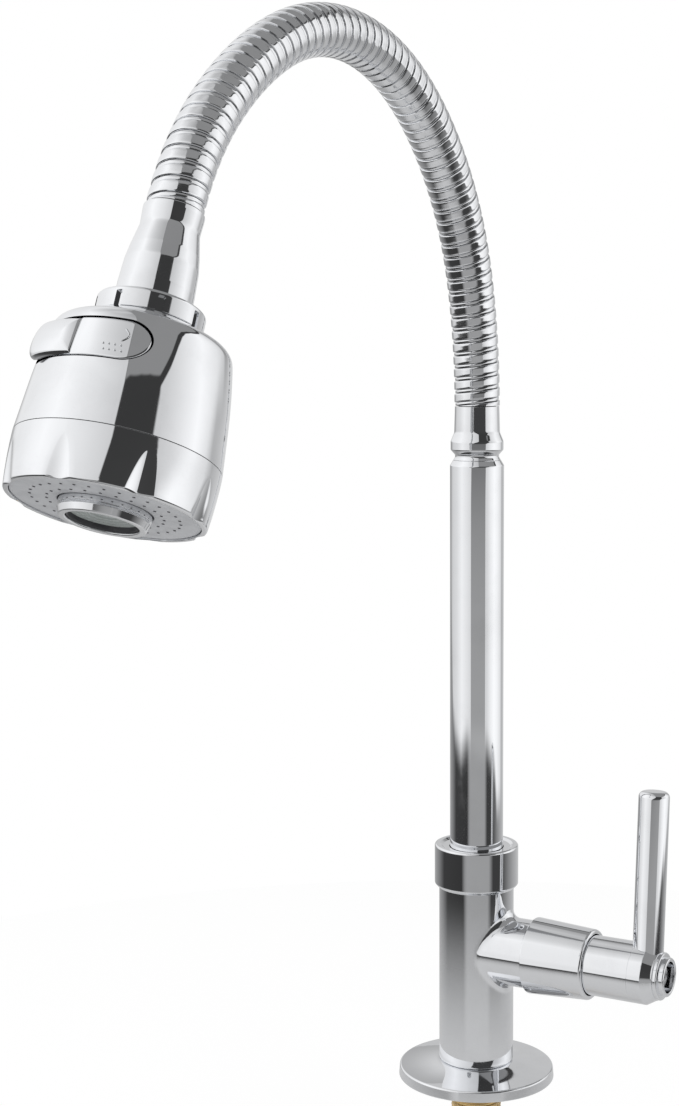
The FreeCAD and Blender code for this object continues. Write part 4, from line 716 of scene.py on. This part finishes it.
def bezel():
    """Lower ring of the head. Its flutes are drawn in by moving the columns of the spun wall."""
    shape = bpy.context.scene.tap_shape
    columns, in_flute, flute_start = 24, 14, 84.4
    wall = [(bezel_radius(station), station) for station in np.arange(81.6, 96.3, 0.7)]
    mesh = lathe([(29.2, 80.03), (31.9, 80.03, 0.1), *wall, (30.9, BEZEL_RIM, 0.7),
                  (BEZEL_BORE, BEZEL_RIM), (29.2, 97.1)], shape.flutes * columns)
    sector = math.tau / shape.flutes
    for vert in mesh.verts:
        radius, station = math.hypot(vert.co.x, vert.co.y) / MM, vert.co.z / MM
        if radius < BEZEL_BORE - 0.05:
            continue
        along = math.atan2(vert.co.y, vert.co.x) / sector
        whole = round(along)
        column = round((along - whole) * columns)
        depth = min(max((station - flute_start) / (BEZEL_RIM - flute_start), 0.0), 1.0)
        half = max(0.3, shape.flute_width / MM / 2 * math.sqrt(depth)) / radius / sector
        inner = abs(column) / (in_flute / 2)
        if inner <= 1:
            offset = half * inner
        else:
            beyond = (abs(column) - in_flute / 2) / (columns / 2 - in_flute / 2)
            offset = half + (0.5 - half) * beyond
        if inner < 1:
            cut = shape.flute_depth / MM * depth * (1 - inner ** 2) ** 1.3
            share = 1 - cut / (bezel_radius(station) - BEZEL_BORE)
            radius = BEZEL_BORE + (radius - BEZEL_BORE) * share
        angle = (whole + math.copysign(offset, column)) * sector
        vert.co.x, vert.co.y = radius * math.cos(angle) * MM, radius * math.sin(angle) * MM
    turn_mesh(mesh, FLUTE_TURN)
    outward(mesh)
    piece("fluted_bezel", mesh, "chrome", "head", ["lower_bezel"], HEAD,
          sharp=40)


def spray_plate():
    """Grey spray face with its two rings of rubber nozzles."""
    mesh = lathe([(14.65, 94.1), (29.1, 94.1), (29.1, 96.6, 0.3), (14.65, 96.6, 0.3)])
    piece("spray_plate", mesh, "face", "head", ["spray_face"], HEAD)
    size = bpy.context.scene.tap_shape.nozzle_radius / MM
    nozzles = bmesh.new()
    one = lathe([(0, 96.4), (size + 0.1, 96.4), (size, 96.75), (size * 0.4, 96.75),
                 (size * 0.4, 96.5), (0, 96.5)], 10)
    for radius, count in ((22.8, 32), (17.8, 24)):
        for _ in range(count):
            bmesh.ops.translate(one, verts=one.verts, vec=(radius * MM, 0, 0))
            nozzles = add(nozzles, one, keep=True)
            bmesh.ops.translate(one, verts=one.verts, vec=(-radius * MM, 0, 0))
            turn_mesh(nozzles, math.tau / count)
    one.free()
    piece("nozzles", nozzles, "nozzle", "head", place=HEAD)


def aerator():
    """Stepped aerator ring with the insert's rings inside."""
    ring = lathe([(11.96, 92.3), (14.3, 92.3), (14.3, 98.2, 0.2), (13.75, 98.4, 0.1),
                  (13.75, 98.8, 0.1), (14.2, 99.0, 0.2), (13.35, 101.3, 0.45), (11.2, 101.3, 0.5),
                  (11.2, 99.1), (11.96, 99.1)])
    piece("aerator_rim", ring, "chrome", "head", ["aerator_ring"], HEAD)
    insert = lathe([(0, 95.5), (11.84, 95.5), (11.84, 99.0), (10.0, 99.0), (9.8, 98.5), (8.2, 98.4),
                    (7.9, 98.8, 0.2), (7.3, 98.8, 0.2), (7.0, 98.3), (5.4, 98.25), (5.1, 98.6, 0.2),
                    (4.5, 98.6, 0.2), (4.2, 98.2), (2.4, 98.2), (2.1, 98.5, 0.2), (0, 98.55)], 96)
    piece("aerator_core", insert, "insert", "head", ["aerator_insert"], HEAD)
    lip = lathe([(10.4, 99.05), (11.12, 99.05), (11.12, 100.5), (10.95, 100.7, 0.1),
                 (10.6, 100.2, 0.2)], 96)
    piece("aerator_lip", lip, "black", "head", place=HEAD)


def shell_height(across, station):
    """How far the shell's surface stands in front of the head's axis."""
    return math.sqrt(shell_radius(station) ** 2 - across ** 2)


def pad(side, crown, rounding, thickness, sink=0.0):
    """A cushioned half of the rocker on the shell: straight at the middle, sunk at its end."""
    start, end, high, corner, slope_width = 0.2, ROCKER_HALF_WIDTH, ROCKER_HALF_HEIGHT, 0.9, 5.6
    mesh = bmesh.new()
    bmesh.ops.create_grid(mesh, x_segments=72, y_segments=44, size=1)
    rim = set(grow(mesh, open_edges(mesh))[0])
    for vert in mesh.verts:
        up = high * math.sin(math.pi / 2 * vert.co.y)
        past = max(0.0, abs(up) - (high - corner))
        left = start + corner - math.sqrt(max(0.0, corner ** 2 - past ** 2))
        right = end - high + math.sqrt(max(0.0, high ** 2 - up ** 2))
        x = left + (right - left) * (0.5 + 0.5 * math.sin(math.pi / 2 * vert.co.x))
        inset = high - math.hypot(max(0.0, x - (end - high)), up)
        if x < start + corner and past:
            inset = min(inset, corner - math.hypot(start + corner - x, past))
        else:
            inset = min(inset, x - start)
        on_shell = shell_height(x, ROCKER_STATION + up) - sink * (x / end) ** 3
        edge = max(0.0, 1 - max(inset, 0.0) / rounding)
        swell = 1 - (1 - min(max(inset, 0.0) / slope_width, 1.0)) ** 2
        height = on_shell - rounding * (1 - math.sqrt(1 - edge ** 2)) + crown * swell
        vert.co = (side * x, on_shell - thickness if vert in rim else height, ROCKER_STATION + up)
    cap(mesh)
    bmesh.ops.scale(mesh, verts=mesh.verts, vec=(MM, MM, MM))
    return outward(mesh)


def rocker():
    """Rocker: a raised cushion and a flush half with a small sign for spray."""
    low, high = ROCKER_STATION - ROCKER_HALF_HEIGHT, ROCKER_STATION + ROCKER_HALF_HEIGHT
    tilt = bpy.context.scene.tap_shape.rocker_tilt
    flush = pad(1, -0.1, 0.5, 1.7, 0.6)
    raised = pad(-1, 1.5, 1.4, 1.9)
    turn_mesh(raised, -tilt, (0, ROCKER_PIVOT * MM, 0))
    half = 2.6
    corners = ((-half, low + 1), (half, low + 1), (half, high - 1), (-half, high - 1))
    web = prism(soften(corners), 22.0, 27.0)
    mesh = add(add(flush, raised), web)
    dot_radius, dot_sink, bow_radius, bow_sink, bow_steps = 0.33, 0.1, 0.22, 0.08, 12
    for row, station in enumerate((ROCKER_STATION + 2.0, ROCKER_STATION + 3.8)):
        for column in range(4):
            across = 10.4 + column * 1.6 + row * 0.5
            spot = Vector((across, shell_height(across, station) - dot_sink, station)) * MM
            bmesh.ops.create_uvsphere(mesh, u_segments=12, v_segments=8, radius=dot_radius * MM,
                                      matrix=Matrix.Translation(spot))
    bow = [(15.0 + 1.3 * math.sin(math.pi * k / bow_steps), ROCKER_STATION - 3.4 + k / 3)
           for k in range(bow_steps + 1)]
    arc = bmesh.new()
    circle = bmesh.ops.create_circle(arc, segments=8, radius=bow_radius * MM)["verts"]
    loop = arc.edges[:]
    bmesh.ops.translate(arc, verts=circle, vec=Vector((bow[0][0], 0, bow[0][1])) * MM)
    for before, after in zip(bow, bow[1:]):
        verts, loop = grow(arc, loop)
        step = Vector((after[0] - before[0], 0, after[1] - before[1])) * MM
        bmesh.ops.translate(arc, verts=verts, vec=step)
    cap(arc)
    for vert in arc.verts:
        vert.co.y += (shell_height(vert.co.x / MM, vert.co.z / MM) - bow_sink) * MM
    piece("rocker", add(mesh, outward(arc)), "chrome", "rocker", ["rocker_button"], FRONT,
          sharp=35)


# CAD pieces that keep their own mesh
KEPT = {
    "rubber": ("escutcheon_gasket", "deck_washer", "seat_seal", "riser_o_rings", "head_gasket",
               "aerator_gasket", "spool_o_rings", "spindle_o_rings"),
    "brass": ("cartridge_housing", "lower_hose_barb", "upper_hose_barb", "spindle"),
    "ceramic": ("fixed_ceramic_disc", "moving_ceramic_disc"),
    "white": ("riser_bush", "diverter_spool"),
    "black": ("diverter_body",),
    "steel": ("riser_clip", "rocker_pin", "handle_screw"),
}


def inner_pieces():
    """Gives the inner CAD pieces their finishes."""
    for name, nodes in KEPT.items():
        for node in nodes:
            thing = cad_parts[node]
            thing.data.materials.clear()
            thing.data.materials.append(FINISHES[name])


# Stage

def around(degrees):
    """Place of a direction on a ramp: degrees from the camera's side, to the right."""
    return degrees / 360 + 0.5


def upward(height):
    """Place of a direction's height, -1 to 1, on a ramp."""
    return (height + 1) / 2


def ramp(tree, source, place, stops):
    """A smooth run of values: (degrees or height, value)."""
    node = shader_node(tree, "ValToRGB")
    elements = node.color_ramp.elements
    elements.remove(elements[-1])
    for index, (where, value) in enumerate(stops):
        spot = elements[0] if index == 0 else elements.new(place(where))
        spot.position = place(where)
        spot.color = (value, value, value, 1)
    tree.links.new(source, node.inputs["Fac"])
    return node.outputs["Color"]


def sums(tree, operation, first, second):
    """The sum, product or other Math result of two sockets or numbers."""
    node = shader_node(tree, "Math")
    node.operation = operation
    for index, source in enumerate((first, second)):
        if isinstance(source, float):
            node.inputs[index].default_value = source
        else:
            tree.links.new(source, node.inputs[index])
    return node.outputs[0]


def past(tree, value, edge, soft):
    """A mask that turns on where a value passes an edge."""
    rise = shader_node(tree, "MapRange", from_min=edge - soft, from_max=edge + soft)
    rise.interpolation_type = "SMOOTHSTEP"
    tree.links.new(value, rise.inputs["Value"])
    return rise.outputs["Result"]


def over(tree, below, above, mask):
    """Lays one part of the studio over another."""
    mix = shader_node(tree, "Mix")
    mix.data_type = "RGBA"
    tree.links.new(mask, mix.inputs["Factor"])
    tree.links.new(below, mix.inputs["A"])
    tree.links.new(above, mix.inputs["B"])
    return mix.outputs["Result"]


def swap(tree, mask, first, second):
    """A shader that turns from the first into the second where the mask is on."""
    mix = shader_node(tree, "MixShader")
    tree.links.new(mask, mix.inputs[0])
    wire(tree, (first, 0, mix, 1), (second, 0, mix, 2))
    return mix


def studio_world():
    """Studio that only the metal sees: two soft panels, skirts under them, a dark gap between."""
    world = bpy.data.worlds.new("studio")
    bpy.context.scene.world = world
    world.use_nodes = True
    tree = world.node_tree
    tree.nodes.clear()
    place = shader_node(tree, "TexCoord")
    turn = shader_node(tree, "VectorRotate", angle=math.radians(60))
    turn.rotation_type = "Z_AXIS"
    parts = shader_node(tree, "SeparateXYZ")
    wire(tree, (place, "Generated", turn, "Vector"), (turn, "Vector", parts, "Vector"))
    east, north, high = parts.outputs
    angle = sums(tree, "ARCTAN2", north, east)
    share = sums(tree, "ADD", sums(tree, "DIVIDE", angle, math.tau), 0.5)
    level = sums(tree, "DIVIDE", sums(tree, "ADD", high, 1.0), 2.0)

    # Brightness round the room, at three heights, then the height of the panels' hem
    skirts = ramp(tree, share, around, [
        (-180, 0.5), (-153, 0.35), (-129, 0.23), (-105, 0.05), (-45, 0.04), (-36, 0.3), (-30, 0.37),
        (30, 0.36), (42, 0.05), (70, 0.05), (96, 0.26), (117, 0.4), (160, 0.6)])
    low_panels = ramp(tree, share, around, [
        (-180, 0.5), (-153, 0.3), (-141, 0.55), (-129, 0.7), (-99, 0.8), (-72, 1.0), (-45, 0.86),
        (-33, 0.78), (39, 0.75), (57, 0.98), (75, 1.12), (93, 1.04), (117, 0.82), (128, 0.48),
        (147, 0.6), (165, 0.7)])
    panels = ramp(tree, share, around, [
        (-180, 0.45), (-165, 0.85), (-117, 0.97), (-87, 1.1), (-57, 0.97), (-33, 0.87), (0, 0.7),
        (57, 0.68), (69, 0.78), (99, 1.1), (123, 0.9), (137, 0.7), (141, 0.33), (147, 0.3),
        (153, 0.55), (171, 0.6)])
    hem = ramp(tree, share, around, [
        (-155, 0.1), (-130, 0.19), (-110, 0.205), (-75, 0.215), (-50, 0.207), (40, 0.21),
        (80, 0.22), (95, 0.24), (140, 0.235)])
    # The dark gap: its brightness, its two edges and the foot of the grey lid over it
    gap = ramp(tree, level, upward, [
        (-0.2, 0.37), (-0.14, 0.35), (-0.1, 0.3), (-0.02, 0.055), (0.6, 0.045)])
    left = ramp(tree, level, upward, [
        (-0.087, 0.418), (-0.017, 0.436), (0.545, 0.508), (0.731, 0.517)])
    right = ramp(tree, level, upward, [
        (-0.087, 0.589), (0, 0.61), (0.292, 0.65), (0.5, 0.648), (0.602, 0.639), (0.66, 0.62)])
    lid = ramp(tree, share, around, [
        (0, 0.74), (12, 0.737), (27, 0.7), (38, 0.66), (50, 0.6), (62, 0.605), (70, 0.62)])
    lid_shadow, lid_tone = (-0.045, 0.045), (0.0, 0.28)
    fading = ramp(tree, level, upward, [(0.78, 1.0), (0.94, 0.62)])

    shade = over(tree, skirts, low_panels, past(tree, sums(tree, "ADD", high, hem), 0.0, 0.012))
    shade = over(tree, shade, panels, past(tree, high, 0.05, 0.1))
    shade = over(tree, shade, sums(tree, "MULTIPLY", shade, fading), past(tree, high, 0.7, 0.05))
    beside = past(tree, sums(tree, "SUBTRACT", share, left), 0.0, 0.003)
    before = past(tree, sums(tree, "SUBTRACT", right, share), 0.0, 0.003)
    between = sums(tree, "MULTIPLY", beside, before)
    shade = over(tree, shade, gap, sums(tree, "MULTIPLY", between, past(tree, high, -0.215, 0.02)))
    rise = sums(tree, "SUBTRACT", high, lid)
    for edge, value in (lid_shadow, lid_tone):
        tone = shader_node(tree, "RGB").outputs[0]
        tone.default_value = (value, value, value, 1)
        mask = sums(tree, "MULTIPLY", beside, past(tree, rise, edge, 0.006))
        shade = over(tree, shade, tone, mask)
    room = shader_node(tree, "Background")
    tree.links.new(shade, room.inputs["Color"])
    white = shader_node(tree, "Background", color=(1, 1, 1, 1))
    soft = shader_node(tree, "Background", color=(1, 1, 1, 1), strength=0.62)
    ray = shader_node(tree, "LightPath").outputs
    seen = swap(tree, ray["Is Diffuse Ray"], room, soft)
    seen = swap(tree, ray["Is Camera Ray"], seen, white)
    wire(tree, (seen, 0, shader_node(tree, "OutputWorld"), 0))


def floor():
    """Pale round floor under the shank: white to the camera but for the shadow, grey to the metal.

    The metal sees it fade out towards its rim.
    """
    mesh = bmesh.new()
    bmesh.ops.create_circle(mesh, cap_ends=True, segments=128, radius=0.5,
                            matrix=Matrix.Translation((0, 0, -60.2 * MM)))
    thing = as_object("floor", mesh)
    material = bpy.data.materials.new("floor")
    material.use_nodes = True
    tree = material.node_tree
    surface = tree.nodes["Principled BSDF"]
    colour = bpy.context.scene.tap_finish.floor
    surface.inputs["Base Color"].default_value = (*colour, 1)
    surface.inputs["Roughness"].default_value = 0.8
    ray = shader_node(tree, "LightPath").outputs
    for kind, part, strength in (("Is Camera Ray", 0.72, 1.1), ("Is Glossy Ray", 0.5, 0.45)):
        glow = shader_node(tree, "Emission", strength=strength)
        surface = swap(tree, sums(tree, "MULTIPLY", ray[kind], part), surface, glow)
    radius = shader_node(tree, "VectorMath")
    radius.operation = "LENGTH"
    wire(tree, (shader_node(tree, "TexCoord"), "Object", radius, 0))
    rim = past(tree, radius.outputs["Value"], 0.33, 0.17)
    fade = sums(tree, "MULTIPLY", rim, ray["Is Glossy Ray"])
    surface = swap(tree, fade, surface, shader_node(tree, "BsdfTransparent"))
    wire(tree, (surface, 0, tree.nodes["Material Output"], "Surface"))
    thing.data.materials.append(material)


def lamp(name, spot, size, energy):
    """A soft square lamp that faces the tap and isn't mirrored in the metal."""
    data = bpy.data.lights.new(name, "AREA")
    data.size = size
    data.energy = energy
    thing = linked(name, data)
    thing.location = spot
    aim = Vector((0, -0.1, 0.2)) - Vector(spot)
    thing.rotation_euler = aim.to_track_quat("-Z", "Y").to_euler()
    thing.visible_glossy = False


def camera():
    """Camera at the photograph's place."""
    heading = Vector((-0.5, math.sqrt(0.75), 0))
    ahead = heading * math.cos(CAMERA_PITCH) - Vector((0, 0, math.sin(CAMERA_PITCH)))
    right = ahead.cross(Vector((0, 0, 1))).normalized()
    up = right.cross(ahead)
    side = right * math.cos(CAMERA_ROLL) + up * math.sin(CAMERA_ROLL)
    top = up * math.cos(CAMERA_ROLL) - right * math.sin(CAMERA_ROLL)
    data = bpy.data.cameras.new("camera")
    data.sensor_width = 36
    data.lens = FOCAL_PIXELS * data.sensor_width / FRAME_HEIGHT
    thing = linked("camera", data)
    place = Matrix((side, top, -ahead)).transposed().to_4x4()
    place.translation = CAMERA_PLACE
    thing.matrix_world = place
    bpy.context.scene.camera = thing


def make_stage():
    """World, floor, lamps and camera."""
    bpy.context.scene.view_settings.view_transform = "Standard"
    studio_world()
    floor()
    lamp("key_lamp", (-0.9, -1.1, 1.3), 1.0, 9)
    lamp("fill_lamp", (1.2, -0.4, 0.9), 1.0, 5)
    camera()


# Operators and panel

class TAP_OT_finishes(bpy.types.Operator):
    """Makes the materials."""

    bl_idname = "tap.finishes"
    bl_label = "Finishes"

    def execute(self, context):
        make_finishes()
        return {"FINISHED"}


class TAP_OT_stage(bpy.types.Operator):
    """Makes world, floor, lamps and camera."""

    bl_idname = "tap.stage"
    bl_label = "Stage"

    def execute(self, context):
        make_stage()
        return {"FINISHED"}


class TAP_OT_deck(bpy.types.Operator):
    """Makes flange, shank and nut."""

    bl_idname = "tap.deck"
    bl_label = "Deck fitting"

    def execute(self, context):
        deck_flange()
        threaded_shank()
        backnut()
        return {"FINISHED"}


class TAP_OT_column(bpy.types.Operator):
    """Makes the cast column and its collar."""

    bl_idname = "tap.column"
    bl_label = "Valve column"

    def execute(self, context):
        valve_column()
        collar()
        return {"FINISHED"}


class TAP_OT_riser(bpy.types.Operator):
    """Makes riser and ferrule."""

    bl_idname = "tap.riser"
    bl_label = "Riser"

    def execute(self, context):
        riser()
        return {"FINISHED"}


class TAP_OT_branch(bpy.types.Operator):
    """Makes sleeve, hub and lever."""

    bl_idname = "tap.branch"
    bl_label = "Branch"

    def execute(self, context):
        branch()
        return {"FINISHED"}


class TAP_OT_gooseneck(bpy.types.Operator):
    """Makes the spiral strip and what it covers."""

    bl_idname = "tap.gooseneck"
    bl_label = "Gooseneck"

    def execute(self, context):
        gooseneck()
        return {"FINISHED"}


class TAP_OT_neck_union(bpy.types.Operator):
    """Makes the bell sleeve and the union ring."""

    bl_idname = "tap.neck_union"
    bl_label = "Neck union"

    def execute(self, context):
        neck_union()
        return {"FINISHED"}


class TAP_OT_head(bpy.types.Operator):
    """Makes shell, bezel, spray face and aerator."""

    bl_idname = "tap.head"
    bl_label = "Head"

    def execute(self, context):
        head_shell()
        bezel()
        spray_plate()
        aerator()
        return {"FINISHED"}


class TAP_OT_rocker(bpy.types.Operator):
    """Makes the rocker with its sign."""

    bl_idname = "tap.rocker"
    bl_label = "Rocker"

    def execute(self, context):
        rocker()
        return {"FINISHED"}


class TAP_OT_inner(bpy.types.Operator):
    """Gives the inner CAD pieces their finishes."""

    bl_idname = "tap.inner"
    bl_label = "Inner pieces"

    def execute(self, context):
        inner_pieces()
        return {"FINISHED"}


class TAP_PT_panel(bpy.types.Panel):
    """Lists the tap's pieces."""

    bl_label = "Spring spout tap"
    bl_idname = "TAP_PT_panel"
    bl_space_type = "VIEW_3D"
    bl_region_type = "UI"
    bl_category = "Tap"

    def draw(self, context):
        for group in (context.scene.tap_shape, context.scene.tap_finish):
            for name in group.__annotations__:
                self.layout.prop(group, name)
        for kind in OPERATORS:
            self.layout.operator(kind.bl_idname)


OPERATORS = [TAP_OT_finishes, TAP_OT_stage, TAP_OT_deck, TAP_OT_column, TAP_OT_riser, TAP_OT_branch,
             TAP_OT_gooseneck, TAP_OT_neck_union, TAP_OT_head, TAP_OT_rocker, TAP_OT_inner]
CLASSES = [TapShape, TapFinish, *OPERATORS, TAP_PT_panel]


def register():
    for kind in CLASSES:
        bpy.utils.register_class(kind)
    bpy.types.Scene.tap_shape = PointerProperty(type=TapShape)
    bpy.types.Scene.tap_finish = PointerProperty(type=TapFinish)


def unregister():
    del bpy.types.Scene.tap_shape
    del bpy.types.Scene.tap_finish
    for kind in reversed(CLASSES):
        bpy.utils.unregister_class(kind)


def main():
    register()
    bpy.ops.tap.finishes()
    bpy.ops.tap.stage()
    bpy.ops.tap.deck()
    bpy.ops.tap.column()
    bpy.ops.tap.riser()
    bpy.ops.tap.branch()
    bpy.ops.tap.gooseneck()
    bpy.ops.tap.neck_union()
    bpy.ops.tap.head()
    bpy.ops.tap.rocker()
    bpy.ops.tap.inner()


if __name__ == "__main__":
    main()
